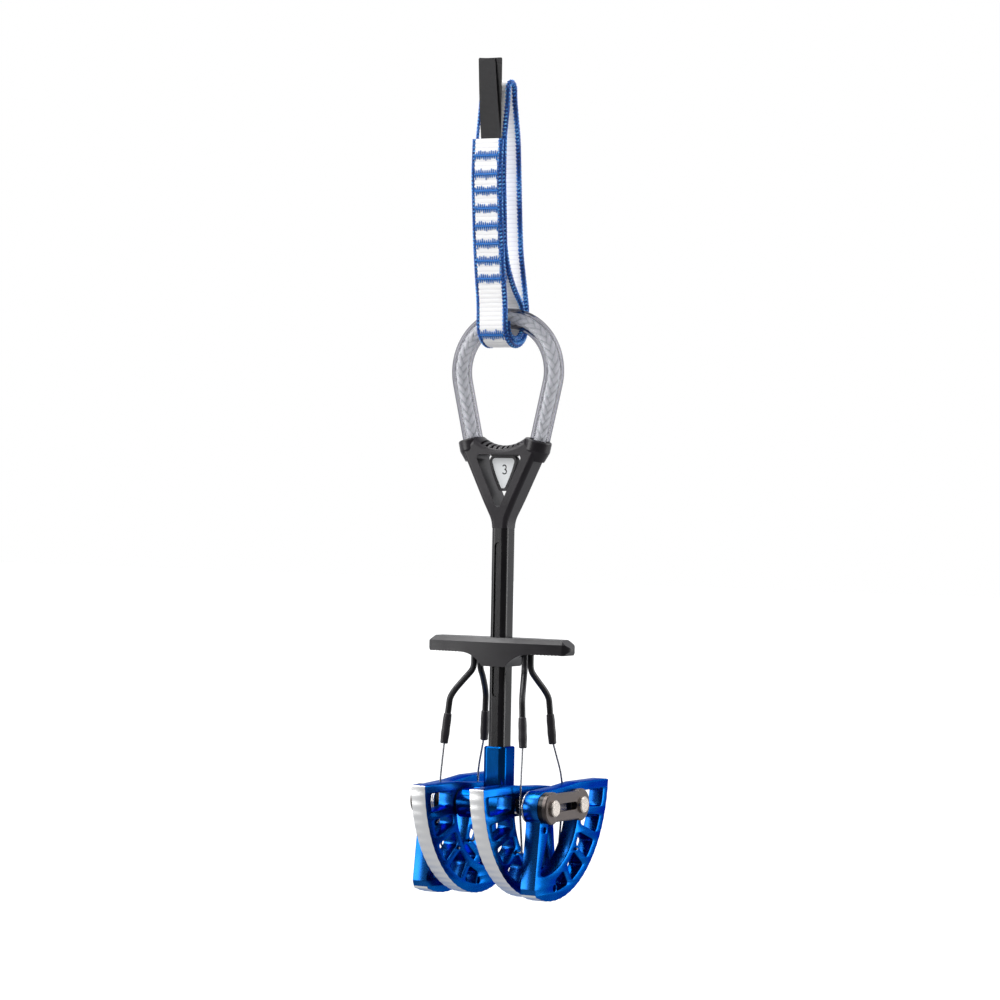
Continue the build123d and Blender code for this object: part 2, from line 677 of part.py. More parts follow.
# On each side of the stem an outer and an inner lobe have a spring and a wire of their own.
# The inner lobe's lie on the other side of the stem in X from the outer's.
outer_moving = outer_y0 - coil_margin - spring_wire_r
inner_moving = inner_y1 + coil_margin + spring_wire_r
outer_spring = make_spring(outer_moving, True, outer_y0 + 2.5)
inner_spring = mirror(make_spring(inner_moving, False, inner_y1 - 2.5), Plane.YZ)
save("spring_1", mirror(outer_spring, Plane.XZ))
save("spring_2", mirror(inner_spring, Plane.XZ))
save("spring_3", inner_spring)
save("spring_4", outer_spring)
outer_wire = make_wire(outer_y1 + 0.15, outer_lane, outer_crimp[0])
inner_wire = mirror(make_wire(inner_y0, inner_lane, inner_crimp[0]), Plane.YZ)
save("trigger_wire_1", mirror(outer_wire, Plane.XZ))
save("trigger_wire_2", mirror(inner_wire, Plane.XZ))
save("trigger_wire_3", inner_wire)
save("trigger_wire_4", outer_wire)
for kind, make in (("crimp_sleeve", make_crimp), ("trigger_cable", make_cable)):
    outer, inner = make(*outer_crimp), mirror(make(*inner_crimp), Plane.YZ)
    save(f"{kind}_1", mirror(outer, Plane.XZ))
    save(f"{kind}_2", mirror(inner, Plane.XZ))
    save(f"{kind}_3", inner)
    save(f"{kind}_4", outer)

sides = (-half_spacing, half_spacing)
bush_y = (inner_y1 + 0.05, outer_y0 - 0.05)
washer_y = (terminal_half, terminal_half + washer_t)
far_bushes = [make_ring(x, bush_r, *bush_y) for x in sides]
far_washers = [make_ring(x, boss_r, *washer_y) for x in sides]
far_spacers = [make_ring(x, boss_r + 0.4, spacer_y0, far_plate_y) for x in sides]
near_spacers = [make_ring(x, boss_r + 0.4, -near_plate_y, -spacer_y0) for x in sides]
save("gap_bushes", *far_bushes, *[mirror(ring, Plane.XZ) for ring in far_bushes])
save("thrust_washers", *far_washers, *[mirror(ring, Plane.XZ) for ring in far_washers])
save("axle_spacers", *far_spacers, *near_spacers)

save("stem_terminal", make_terminal())
save("core_pin", make_core_pin())
save("stem_cord", make_stem_cord(cord_r))
save("stem_sheath", make_sheath())
save("yoke", make_yoke())
save("near_size_plate", make_size_plate(True))
save("far_size_plate", make_size_plate(False))
save("thumb_loop_tube", along_loop(Circle(tube_r) - Circle(tube_bore), socket_z))
save("thumb_loop_cord", along_loop(Circle(loop_cord_r), socket_z))
save("trigger", make_trigger())
sling = make_sling()
save("sling", sling)
save("bar_tacks", *make_bar_tacks(sling))
save("sling_label", make_label())
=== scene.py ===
import math

import bmesh
import bpy
import numpy as np
from mathutils import Matrix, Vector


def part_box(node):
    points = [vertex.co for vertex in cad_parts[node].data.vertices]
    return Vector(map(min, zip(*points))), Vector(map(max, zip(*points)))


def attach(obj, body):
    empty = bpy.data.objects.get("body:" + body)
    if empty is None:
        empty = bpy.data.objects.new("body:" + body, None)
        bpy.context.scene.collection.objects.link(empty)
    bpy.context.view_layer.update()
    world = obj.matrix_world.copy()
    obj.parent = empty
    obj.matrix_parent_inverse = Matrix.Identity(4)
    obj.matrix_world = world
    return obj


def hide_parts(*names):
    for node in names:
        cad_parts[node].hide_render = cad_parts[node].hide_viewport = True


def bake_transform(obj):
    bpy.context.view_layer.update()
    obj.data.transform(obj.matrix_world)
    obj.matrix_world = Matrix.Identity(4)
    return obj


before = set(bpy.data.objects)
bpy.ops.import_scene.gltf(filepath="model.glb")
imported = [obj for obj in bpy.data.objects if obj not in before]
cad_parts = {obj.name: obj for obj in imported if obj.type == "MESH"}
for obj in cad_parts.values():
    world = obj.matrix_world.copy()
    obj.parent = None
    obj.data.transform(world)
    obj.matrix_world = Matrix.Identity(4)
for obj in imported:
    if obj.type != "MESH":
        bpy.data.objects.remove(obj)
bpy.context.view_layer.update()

# Everything is placed from the middle of the two axles. Distances in the settings are in
# millimetres, with x across the crack, y along the axles and z up the stem.
mm = 0.001
leftLow, leftHigh = (np.array(corner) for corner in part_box("left_axle"))
rightLow, rightHigh = (np.array(corner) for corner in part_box("right_axle"))
axleMiddle = (leftLow + leftHigh + rightLow + rightHigh) / 4
halfSpacing = (rightLow + rightHigh - leftLow - leftHigh)[0] / 4 / mm


def fromAxles(points):
    # millimetres from the axles' middle, to metres in the frame
    return np.asarray(points, float) * mm + axleMiddle


def nodeBox(node):
    # a node's box in millimetres from the axles' middle
    return [(np.array(corner) - axleMiddle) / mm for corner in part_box(node)]


# helpers for the materials

def linear(hexColour):
    # sRGB hex to the linear colour that Blender's sockets take
    parts = np.array([int(hexColour[i:i + 2], 16) / 255 for i in (0, 2, 4)])
    return (*np.where(parts <= 0.04045, parts / 12.92, ((parts + 0.055) / 1.055) ** 2.4), 1.0)


def addNode(tree, kind, inputs=None, **settings):
    # adds a node, sets its options, then fills or links its inputs
    node = tree.nodes.new(kind)
    for option, value in settings.items():
        setattr(node, option, value)
    for socket, value in (inputs or {}).items():
        if isinstance(value, bpy.types.NodeSocket):
            tree.links.new(value, node.inputs[socket])
        else:
            node.inputs[socket].default_value = value
    return node


def newMaterial(name, **values):
    # a material with one principled shader; values go to its sockets, _ for a space
    material = bpy.data.materials.new(name)
    material.use_nodes = True
    tree = material.node_tree
    tree.nodes.clear()
    sockets = {key.replace("_", " "): value for key, value in values.items()}
    shader = addNode(tree, "ShaderNodeBsdfPrincipled", sockets)
    addNode(tree, "ShaderNodeOutputMaterial", {"Surface": shader.outputs[0]})
    return material, tree, shader


def setSocket(tree, shader, socket, value):
    tree.links.new(value, shader.inputs[socket])


def mathNode(tree, operation, *values):
    return addNode(tree, "ShaderNodeMath", dict(enumerate(values)), operation=operation).outputs[0]


def mixColour(tree, factor, first, second):
    mix = addNode(tree, "ShaderNodeMix", {0: factor, 6: first, 7: second}, data_type="RGBA")
    return mix.outputs[2]


def twoColours(tree, factor, colours):
    return mixColour(tree, factor, linear(colours[0]), linear(colours[1]))


def objectPlace(tree):
    return addNode(tree, "ShaderNodeTexCoord").outputs["Object"]


def noiseAt(tree, place, size, detail=2.0, roughness=0.5):
    # noise with features about size millimetres across
    sockets = {"Vector": place, "Scale": 1 / (size * mm), "Detail": detail, "Roughness": roughness}
    return addNode(tree, "ShaderNodeTexNoise", sockets).outputs[0]


def bumpFrom(tree, height, depth, strength=1.0, under=None):
    # depth in millimetres is what the height's whole range stands for
    sockets = {"Height": height, "Distance": depth * mm, "Strength": strength}
    if under is not None:
        sockets["Normal"] = under
    return addNode(tree, "ShaderNodeBump", sockets).outputs[0]


def remap(tree, value, low, high, toLow=0.0, toHigh=1.0, smooth=False):
    sockets = {0: value, 1: low, 2: high, 3: toLow, 4: toHigh}
    return addNode(tree, "ShaderNodeMapRange", sockets,
                   interpolation_type="SMOOTHSTEP" if smooth else "LINEAR").outputs[0]


def threeColours(tree, shadeAndTone, steps, colours):
    # the first colour up to the first step, the second at the middle one, then the third
    low, middle, high = steps
    dark = twoColours(tree, remap(tree, shadeAndTone, low, middle), colours)
    return mixColour(tree, remap(tree, shadeAndTone, middle, high), dark, linear(colours[2]))


# helpers for the meshes

def meshObject(name, vertices, faces, sharpAngle=35, merge=0.0):
    # points in metres; those nearer to each other than merge, in millimetres, become one
    mesh = bpy.data.meshes.new(name)
    mesh.from_pydata(vertices.tolist(), [], faces)
    work = bmesh.new()
    work.from_mesh(mesh)
    if merge:
        bmesh.ops.remove_doubles(work, verts=work.verts, dist=merge * mm)
    bmesh.ops.recalc_face_normals(work, faces=work.faces)
    work.to_mesh(mesh)
    work.free()
    mesh.shade_smooth()
    mesh.set_sharp_from_angle(angle=math.radians(sharpAngle))
    piece = bpy.data.objects.new(name, mesh)
    bpy.context.scene.collection.objects.link(piece)
    return piece


def gridMesh(name, grid, uv=None, rowsClosed=False, sharpAngle=35):
    # A surface from a grid of points in millimetres, closed round each row. Its first and
    # last rows are capped with a fan, or joined to each other where rowsClosed.
    rows, columns = grid.shape[:2]
    ids = np.arange(rows * columns).reshape(rows, columns)
    ids = np.concatenate([ids, ids[:, :1]], axis=1)
    if rowsClosed:
        ids = np.concatenate([ids, ids[:1]], axis=0)
    quads = np.stack([ids[:-1, :-1], ids[:-1, 1:], ids[1:, 1:], ids[1:, :-1]], -1).reshape(-1, 4)
    faces = quads.tolist()
    vertices = grid.reshape(-1, 3)
    if not rowsClosed:
        for cap, row in ((rows * columns, ids[0]), (rows * columns + 1, ids[-1])):
            faces += np.stack([row[:-1], row[1:], np.full(columns, cap)], -1).tolist()
        vertices = np.concatenate([vertices, [grid[0].mean(0)], [grid[-1].mean(0)]])
    piece = meshObject(name, fromAxles(vertices), faces, sharpAngle)
    if uv is not None:
        # uv holds a pair for each point of the grid; a cap's middle takes its row's mean
        mesh = piece.data
        layer = mesh.uv_layers.new(name="weave")
        loops = np.zeros(len(mesh.loops), int)
        mesh.loops.foreach_get("vertex_index", loops)
        flat = np.concatenate([uv.reshape(-1, 2), uv[0].mean(0)[None], uv[-1].mean(0)[None]])
        layer.data.foreach_set("uv", flat[loops].ravel().astype(np.float32))
    return piece


def lengthsAlong(points):
    return np.concatenate([[0], np.cumsum(np.linalg.norm(np.diff(points, axis=0), axis=1))])


def evenly(points, step):
    # the same path with points an even step apart, and how far along it each lies
    along = lengthsAlong(points)
    wanted = np.linspace(0, along[-1], max(2, int(round(along[-1] / step)) + 1))
    return np.stack([np.interp(wanted, along, points[:, i]) for i in range(3)], -1), wanted


def smoothed(padded, half):
    # each point becomes the weighted mean of itself and half points on either side of it; the
    # path comes padded by that many at both ends
    kernel = np.hanning(2 * half + 3)[1:-1]
    kernel /= kernel.sum()
    return np.stack([np.convolve(column, kernel, "valid") for column in padded.T], -1)


def bentRoute(corners, radii, step):
    # straight runs joined by tangent arcs, as wire is bent in a jig
    corners = np.asarray(corners, float)
    pieces = [corners[:1]]
    for before, corner, after, radius in zip(corners, corners[1:], corners[2:], radii):
        intoDirection = (corner - before) / np.linalg.norm(corner - before)
        outDirection = (after - corner) / np.linalg.norm(after - corner)
        turn = math.acos(float(np.clip(intoDirection @ outDirection, -1, 1)))
        reach = radius * math.tan(turn / 2)
        start = corner - intoDirection * reach
        inward = outDirection - intoDirection * math.cos(turn)
        inward /= np.linalg.norm(inward)
        angles = np.linspace(0, turn, 2 + int(turn * radius / step))[:, None]
        pieces.append(start + radius * (np.sin(angles) * intoDirection
                                        + (1 - np.cos(angles)) * inward))
    pieces.append(corners[-1:])
    return evenly(np.concatenate(pieces), step)


def softRoute(points, step):
    # a smooth curve through the middles of the runs: a quadratic B-spline, ends held
    points = np.asarray(points, float)
    middles = (points[:-1] + points[1:]) / 2
    starts = np.concatenate([points[:1], middles[1:-1]])
    ends = np.concatenate([middles[1:-1], points[-1:]])
    t = np.linspace(0, 1, 40)[:, None]
    curve = [(1 - t) ** 2 * a + 2 * t * (1 - t) * b + t ** 2 * c
             for a, b, c in zip(starts, points[1:-1], ends)]
    return evenly(np.concatenate(curve), step)


def directionsOf(path):
    direction = np.gradient(path, axis=0)
    return direction / np.linalg.norm(direction, axis=1, keepdims=True)


def ringsAlong(path, across, around):
    # the angles of a circle's points, and a unit circle square to the path at each point of it
    tangent = directionsOf(path)
    side = np.cross(tangent, across)
    side /= np.linalg.norm(side, axis=1, keepdims=True)
    normal = np.cross(side, tangent)
    angle = np.linspace(0, 2 * math.pi, around, endpoint=False)
    turned = angle[None, :, None]
    return angle, np.cos(turned) * side[:, None] + np.sin(turned) * normal[:, None]


def roundTube(name, path, radius, across, around=20, uvAlong=None):
    # A circle carried along a path. radius is one number, one for each row, or a grid.
    angle, rings = ringsAlong(path, across, around)
    radii = np.asarray(radius, float)
    if radii.ndim < 2:
        radii = np.broadcast_to(radii, (len(path),))[:, None]
    grid = path[:, None] + radii[..., None] * rings
    uv = None
    if uvAlong is not None:
        uv = np.stack(np.broadcast_arrays(angle[None] / (2 * math.pi), uvAlong[:, None]), -1)
    return gridMesh(name, grid, uv)


def sidesOf(number):
    # Lobes 1 and 4 are the outer pair, on the left axle, and 2 and 3 are the inner pair. Gives
    # whether a lobe is outer, and the signs that mirror lobe 4's wire and spring to its own.
    outer = number in (1, 4)
    return outer, np.array((1.0 if outer else -1.0, 1.0 if number > 2 else -1.0, 1.0))


def dress(piece, body, material, slotName, *nodes):
    # a piece's material, the nodes it takes the place of and the body it rides; slotName is not used
    piece.data.materials.clear()
    piece.data.materials.append(material)
    if nodes:
        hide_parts(*nodes)
    if body is not None:
        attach(piece, body)
    return piece


# camera, lamps and floor

cameraSettings = {
    "turned": 59.79,        # degrees round from facing the front, towards the left
    "raised": 0.38,
    "tilt": 1.06,           # the object leans to the right by this
    "distance": 1537.0,
    "aim": (-2.3, 130.2),   # right of the axles' middle and above it
    "lens": 128.27,
}


def addCamera(s):
    turned, raised, tilt = (math.radians(s[key]) for key in ("turned", "raised", "tilt"))
    right = np.array((math.cos(turned), -math.sin(turned), 0.0))
    back = np.array((-math.sin(turned) * math.cos(raised), -math.cos(turned) * math.cos(raised),
                     math.sin(raised)))
    up = np.cross(back, right)
    aim = right * s["aim"][0] + np.array((0, 0, s["aim"][1]))
    lensData = bpy.data.cameras.new("camera")
    lensData.lens = s["lens"]
    lensData.sensor_width = 36.0
    lensData.clip_start = 0.01
    lensData.clip_end = 30.0
    camera = bpy.data.objects.new("camera", lensData)
    bpy.context.scene.collection.objects.link(camera)
    leaned = right * math.cos(tilt) + up * math.sin(tilt)
    columns = [leaned, np.cross(back, leaned), back, fromAxles(aim + back * s["distance"])]
    matrix = np.eye(4)
    matrix[:3, :] = np.stack(columns, -1)
    camera.matrix_world = Matrix(matrix)
    bpy.context.scene.camera = camera
    return right, back


cameraRight, cameraBack = addCamera(cameraSettings)
print("camera placed")

lightSettings = {
    # name: right, toward the camera, up, width, height, power in watts
    "leftBox": (-1400, 350, 500, 800, 1500, 21),
    "rightBox": (1300, -100, 400, 600, 1400, 14),
    "topBox": (-650, -400, 1650, 1300, 900, 28),
}
lampsAim = 60.0         # the lamps face this far above the axles
roomSettings = {
    "floorDrop": 210.0,     # from the axles to the floor
    "floorReach": 9.0,      # in metres
    "floorGlow": 0.97,
    "tint": "f7f8fb",
    "turn": (-0.45, 0.35),  # from behind the object to the near side
    "steep": (0.12, 0.62),  # where the light from above or below starts and is full
    "behind": 1.0,
    "near": 0.2,
    "above": 1.05,
    "below": 0.6,
}


def addLights():
    towards = cameraBack * (1, 1, 0)
    for name, (right, near, up, width, height, power) in lightSettings.items():
        lampData = bpy.data.lights.new(name, "AREA")
        lampData.shape = "RECTANGLE"
        lampData.size, lampData.size_y = width * mm, height * mm
        lampData.energy = power
        lamp = bpy.data.objects.new(name, lampData)
        bpy.context.scene.collection.objects.link(lamp)
        place = cameraRight * right + towards * near + np.array((0, 0, up + lampsAim))
        back = place - np.array((0, 0, lampsAim))
        back /= np.linalg.norm(back)
        side = np.cross((0, 0, 1.0), back)
        side /= np.linalg.norm(side)
        matrix = np.eye(4)
        matrix[:3, :] = np.stack([side, np.cross(back, side), back, fromAxles(place)], -1)
        lamp.matrix_world = Matrix(matrix)
        lamp.visible_camera = False


def addStage(s):
    # the floor and the sky are the same near white, so that no horizon shows
    floorMaterial = newMaterial("paintedFloor", Roughness=0.9, Base_Color=linear("808080"),
                                Emission_Color=linear("ffffff"), Emission_Strength=s["floorGlow"])[0]
    z = fromAxles((0, 0, -s["floorDrop"]))[2]
    mesh = bpy.data.meshes.new("floor")
    reach = s["floorReach"]
    mesh.from_pydata([(-reach, -reach, z), (reach, -reach, z), (reach, reach, z), (-reach, reach, z)],
                     [], [(0, 1, 2, 3)])
    floor = bpy.data.objects.new("floor", mesh)
    bpy.context.scene.collection.objects.link(floor)
    mesh.materials.append(floorMaterial)
    # seen, but the lamps and the room do all the lighting
    floor.visible_diffuse = False
    floor.visible_glossy = False

    world = bpy.data.worlds.new("studio")
    bpy.context.scene.world = world
    world.use_nodes = True
    tree = world.node_tree
    tree.nodes.clear()
    seen = addNode(tree, "ShaderNodeLightPath").outputs["Is Camera Ray"]
    # the room round the table: bright paper behind it, dark on the near side, bright above
    toward = addNode(tree, "ShaderNodeTexCoord").outputs["Generated"]
    nearness = addNode(tree, "ShaderNodeVectorMath", {0: toward, 1: tuple(cameraBack)},
                       operation="DOT_PRODUCT").outputs["Value"]
    height = addNode(tree, "ShaderNodeSeparateXYZ", {0: toward}).outputs[2]
    level = remap(tree, nearness, *s["turn"], s["behind"], s["near"], smooth=True)
    for side, key in ((1, "above"), (-1, "below")):
        share = remap(tree, mathNode(tree, "MULTIPLY", height, side), *s["steep"], smooth=True)
        gap = mathNode(tree, "SUBTRACT", s[key], level)
        level = mathNode(tree, "MULTIPLY_ADD", share, gap, level)
    room = addNode(tree, "ShaderNodeBackground", {"Color": linear(s["tint"]), "Strength": level})
    paper = addNode(tree, "ShaderNodeBackground", {"Color": linear("ffffff"), "Strength": 1.0})
    mix = addNode(tree, "ShaderNodeMixShader", {0: seen, 1: room.outputs[0], 2: paper.outputs[0]})
    addNode(tree, "ShaderNodeOutputWorld", {"Surface": mix.outputs[0]})
    settings = bpy.context.scene.view_settings
    settings.view_transform = "Standard"
    settings.look = "None"


addLights()
addStage(roomSettings)
print("lights and floor placed")

# finishes of the machined and moulded parts

def anodised(name, colours, roughness=0.26):
    # anodised aluminium: milled, bead blasted and dyed, so its colour lies in the metal
    material, tree, shader = newMaterial(name, Metallic=1.0, Specular_Tint=linear("3c86d8"))
    place = objectPlace(tree)
    cloud = noiseAt(tree, place, 14.0)
    base = twoColours(tree, remap(tree, cloud, 0.3, 0.7), colours)
    setSocket(tree, shader, "Base Color", base)
    fine = noiseAt(tree, place, 0.35, 3.0)
    setSocket(tree, shader, "Roughness", remap(tree, fine, 0.3, 0.7, roughness - 0.05, roughness + 0.06))
    setSocket(tree, shader, "Normal", bumpFrom(tree, fine, 0.002))
    return material, tree, shader, base


def lobeFinish(number, s):
    # the same blue, but the gripping edge is turned bare after the dye: what lies outside the
    # spiral, less a small depth, and doesn't face along the axle
    material, tree, shader, blue = anodised(f"anodisedAluminiumLobe{number}", ("124f97", "1b5fab"))
    opens = sidesOf(number)[1][0]
    centre = fromAxles((-opens * halfSpacing, 0, 0))
    split = addNode(tree, "ShaderNodeSeparateXYZ", {0: objectPlace(tree)})
    x = mathNode(tree, "MULTIPLY", mathNode(tree, "SUBTRACT", split.outputs[0], centre[0]), opens)
    z = mathNode(tree, "SUBTRACT", split.outputs[2], centre[2])
    radius = mathNode(tree, "SQRT", mathNode(tree, "ADD", mathNode(tree, "MULTIPLY", x, x),
                                             mathNode(tree, "MULTIPLY", z, z)))
    turned = mathNode(tree, "MULTIPLY", mathNode(tree, "ARCTAN2", z, x), s["rate"])
    spiral = mathNode(tree, "MULTIPLY", mathNode(tree, "EXPONENT", turned), s["radius"] * mm)
    beyond = mathNode(tree, "SUBTRACT", radius, spiral)
    outside = mathNode(tree, "GREATER_THAN", beyond, -s["bareDepth"] * mm)
    normal = addNode(tree, "ShaderNodeNewGeometry").outputs["Normal"]
    facing = addNode(tree, "ShaderNodeSeparateXYZ", {0: normal})
    level = mathNode(tree, "LESS_THAN", mathNode(tree, "ABSOLUTE", facing.outputs[1]), 0.5)
    bare = mathNode(tree, "MULTIPLY", outside, level)
    setSocket(tree, shader, "Base Color", mixColour(tree, bare, blue, linear(s["bare"])))
    satin = shader.inputs["Roughness"].links[0].from_socket
    turnedSatin = mathNode(tree, "MULTIPLY", bare, s["bareRoughness"])
    setSocket(tree, shader, "Roughness", mathNode(tree, "MAXIMUM", satin, turnedSatin))
    return material


lobeSettings = {
    "radius": 54.9,         # of the spiral, straight out from the pivot
    "rate": 0.208,
    "tip": 8.9,             # where the spiral starts and ends, in degrees
    "heel": -100.0,
    "scallop": (4.3, 0.16),     # pitch and depth of the gripping edge's waves
    "heelCorner": (-1.3, 3.2),      # from the spiral's end
    "armCorner": (-4.4, -9.0),
    "eye": (7.1, 232.9, 90.0),      # radius, and where its arc starts and ends
    "topCorner": (15.2, 7.8),
    "topStart": 29.4,
    "tipInside": 1.8,       # from the tip to the top edge's end
    "top": 9.1,
    "edgeRound": 0.9,       # the lengths over which corners are rounded
    "windowRound": 2.4,
    "pocketRound": 5.2,
    "window": 29.34,
    "windowTop": 3.9,
    "windowInside": [(-2.6, -28.6), (-2.0, -24.6), (0.3, -18.5), (2.8, -12.4), (3.1, -7.6),
                     (7.2, -3.4), (8.4, 1.6), (13.0, 3.5)],
    "windowEnd": 20.0,
    "rib": 3.5,
    "rim": 4.3,
    "spoke": 3.6,
    "spokes": (-5.2, -19.0, -35.4, -55.4),
    "pocketTop": 5.3,
    "pocketEnd": -72.0,
    "pocketHeel": -70.0,    # takes a spoke's place in the last pocket's outer radius
    "holes": (((9.67, -35.02), 1.45), ((0.17, -9.5), 1.3), ((27.47, -19.52), 0.8), ((0, 0), 3.25)),
    "bevel": 0.3,
    "merge": 0.0002,
    "bare": "f0f0ef",
    "bareRoughness": 0.45,
    "bareDepth": 0.7,       # how far inside the spiral the bare metal starts
}

moulded = {
    # name: colours, roughness, grain size and depth in millimetres
    "yoke": (("161317", "211d22"), 0.36, 0.30, 0.010),
    "trigger": (("121013", "1b181c"), 0.36, 0.30, 0.010),
    "stem_sheath": (("0b090c", "121013"), 0.24, 0.25, 0.004),
    "axle_spacers": (("080709", "0c0b0d"), 0.26, 0.30, 0.005),
    "gap_bushes": (("0c0c0d", "121213"), 0.34, 0.30, 0.005),
    "thrust_washers": (("0e0e0f", "151516"), 0.34, 0.30, 0.005),
}


def mouldedNylon(name, s):
    # glass filled nylon: moulded in a spark eroded tool, which gives it a fine satin grain
    colours, roughness, grain, depth = s
    material, tree, shader = newMaterial(f"mouldedNylon_{name}", Specular_IOR_Level=0.3)
    place = objectPlace(tree)
    cloud = noiseAt(tree, place, 9.0)
    setSocket(tree, shader, "Base Color", twoColours(tree, cloud, colours))
    fine = noiseAt(tree, place, grain, 4.0, 0.6)
    setSocket(tree, shader, "Roughness", remap(tree, cloud, 0.3, 0.7, roughness - 0.04, roughness + 0.05))
    setSocket(tree, shader, "Normal", bumpFrom(tree, fine, depth))
    return material


def turnedSteel(name, colours, roughness):
    # stainless steel: turned or drawn, with faint rings left by the tool
    material, tree, shader = newMaterial(name, Metallic=1.0)
    place = objectPlace(tree)
    fine = noiseAt(tree, place, 0.5, 3.0)
    setSocket(tree, shader, "Base Color", twoColours(tree, fine, colours))
    setSocket(tree, shader, "Roughness", remap(tree, fine, 0.3, 0.7, roughness - 0.05, roughness + 0.08))
    setSocket(tree, shader, "Normal", bumpFrom(tree, fine, 0.01))
    return material


def paint(node, material):
    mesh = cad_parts[node].data
    mesh.materials.clear()
    mesh.materials.append(material)


def polarPoints(radius, degrees):
    angle = np.radians(degrees)
    return np.stack([radius * np.cos(angle), radius * np.sin(angle)], -1)


def spiralPoints(s, degrees, inset=0.0):
    # the gripping edge, or a line inset from it: radius * e^(rate * angle) - inset
    return polarPoints(s["radius"] * np.exp(s["rate"] * np.radians(degrees)) - inset, degrees)


def softOutline(points, reach, step=0.2):
    # a closed outline with its corners rounded over a length: spaced evenly, then smoothed
    closed = np.concatenate([points, points[:1]])
    flat = np.concatenate([closed, np.zeros((len(closed), 1))], axis=1)
    even = evenly(flat, step)[0][:-1, :2]
    half = int(reach / step / 2)
    return smoothed(np.concatenate([even[-half:], even, even[:half]]), half)


def lobeOutlines(s):
    # the outer edge of a lobe, and then its window, pockets and holes
    degrees = np.linspace(s["tip"], s["heel"], 500)
    along = lengthsAlong(spiralPoints(s, degrees))
    pitch, depth = s["scallop"]
    edge = spiralPoints(s, degrees, depth * (0.5 - 0.5 * np.cos(2 * math.pi * along / pitch)))
    eyeRadius, eyeStart, eyeEnd = s["eye"]
    outer = np.concatenate([edge, [edge[-1] + s["heelCorner"], s["armCorner"]],
                            polarPoints(eyeRadius, np.linspace(eyeStart, eyeEnd, 60)),
                            [s["topCorner"], (s["topStart"], s["top"]),
                             (edge[0, 0] - s["tipInside"], s["top"])]])
    outlines = [softOutline(outer, s["edgeRound"], 0.15)]

    topAngle = math.degrees(math.asin(s["windowTop"] / s["window"]))
    arc = polarPoints(s["window"], np.linspace(topAngle, -90, 120))
    inside = [*s["windowInside"], (s["windowEnd"], s["windowTop"])]
    outlines.append(softOutline(np.concatenate([arc, inside]), s["windowRound"]))

    # each pocket lies between the rib round the window, the rim and a spoke on either side
    inner = s["window"] + s["rib"]
    angles = (None, *s["spokes"], None)
    for before, after in zip(angles, angles[1:]):
        middle = np.radians(((before or 0) + (after or s["pocketHeel"])) / 2)
        outerRadius = s["radius"] * np.exp(s["rate"] * middle) - s["rim"]
        reach = inner + (outerRadius - inner) * np.linspace(0, 1, 12)
        half = np.degrees(np.arcsin(s["spoke"] / 2 / reach))
        first = np.degrees(np.arcsin(s["pocketTop"] / reach)) if before is None else before - half
        last = np.full(len(reach), s["pocketEnd"]) if after is None else after + half
        low, high = np.linspace(last[0], first[0], 30), np.linspace(first[-1], last[-1], 30)
        pocket = np.concatenate([polarPoints(inner, low), polarPoints(reach[1:-1], first[1:-1]),
                                 spiralPoints(s, high, s["rim"]),
                                 polarPoints(reach[-2:0:-1], last[-2:0:-1])])
        outlines.append(softOutline(pocket, s["pocketRound"]))

    around = np.linspace(0, 360, 48, endpoint=False)
    for place, radius in s["holes"]:
        outlines.append(polarPoints(radius, around) + place)
    return outlines


def makeLobe(number, s):
    # the outlines filled, thickened and bevelled as a flat curve, then set on the axle
    curve = bpy.data.curves.new("lobeOutline", "CURVE")
    curve.dimensions = "2D"
    curve.fill_mode = "BOTH"
    low, high = nodeBox(f"lobe_{number}")
    curve.extrude = (high[1] - low[1]) / 2 - s["bevel"]
    curve.bevel_depth = s["bevel"]
    curve.offset = -s["bevel"]
    curve.bevel_resolution = 1
    for points in lobeOutlines(s):
        spline = curve.splines.new("POLY")
        spline.points.add(len(points) - 1)
        spline.points.foreach_set("co", np.concatenate([points, np.zeros((len(points), 1)),
                                                        np.ones((len(points), 1))], axis=1).ravel())
        spline.use_cyclic_u = True
    flat = bpy.data.objects.new("lobeOutline", curve)
    bpy.context.scene.collection.objects.link(flat)
    made = bpy.data.meshes.new_from_object(flat.evaluated_get(bpy.context.evaluated_depsgraph_get()))
    vertices = np.zeros(len(made.vertices) * 3)
    made.vertices.foreach_get("co", vertices)
    x, z, y = vertices.reshape(-1, 3).T
    opens = sidesOf(number)[1][0]
    placed = np.stack([opens * (x - halfSpacing), y + (low[1] + high[1]) / 2, z], -1)
    faces = [tuple(face.vertices) for face in made.polygons]
    bpy.data.objects.remove(flat)
    bpy.data.meshes.remove(made)
    return meshObject(f"camLobe{number}", fromAxles(placed), faces, 30, s["merge"])


for number in (1, 2, 3, 4):
    dress(makeLobe(number, lobeSettings), f"lobe_{number}_body", lobeFinish(number, lobeSettings),
          "blue_lobe", f"lobe_{number}")
print("lobes cut")
paint("stem_terminal", anodised("anodisedAluminiumTerminal", ("053a70", "084684"), 0.2)[0])
for node, values in moulded.items():
    paint(node, mouldedNylon(node, values))
axleSteel = turnedSteel("turnedSteelAxle", ("c3b8ae", "dbd4cc"), 0.26)
for node in ("left_axle", "right_axle", "core_pin"):
    paint(node, axleSteel)
plateBlack = turnedSteel("blackenedSteelPlate", ("504a48", "5e5754"), 0.34)
for node in ("near_end_plate", "far_end_plate"):
    paint(node, plateBlack)
platePale = mouldedNylon("paleBadge", (("d9dbdc", "e4e6e6"), 0.35, 0.4, 0.004))
for node in ("near_size_plate", "far_size_plate"):
    paint(node, platePale)
paint("stem_cord", mouldedNylon("coreCord", (("b9bdbf", "c9cdcf"), 0.7, 0.6, 0.05)))
print("frame painted")

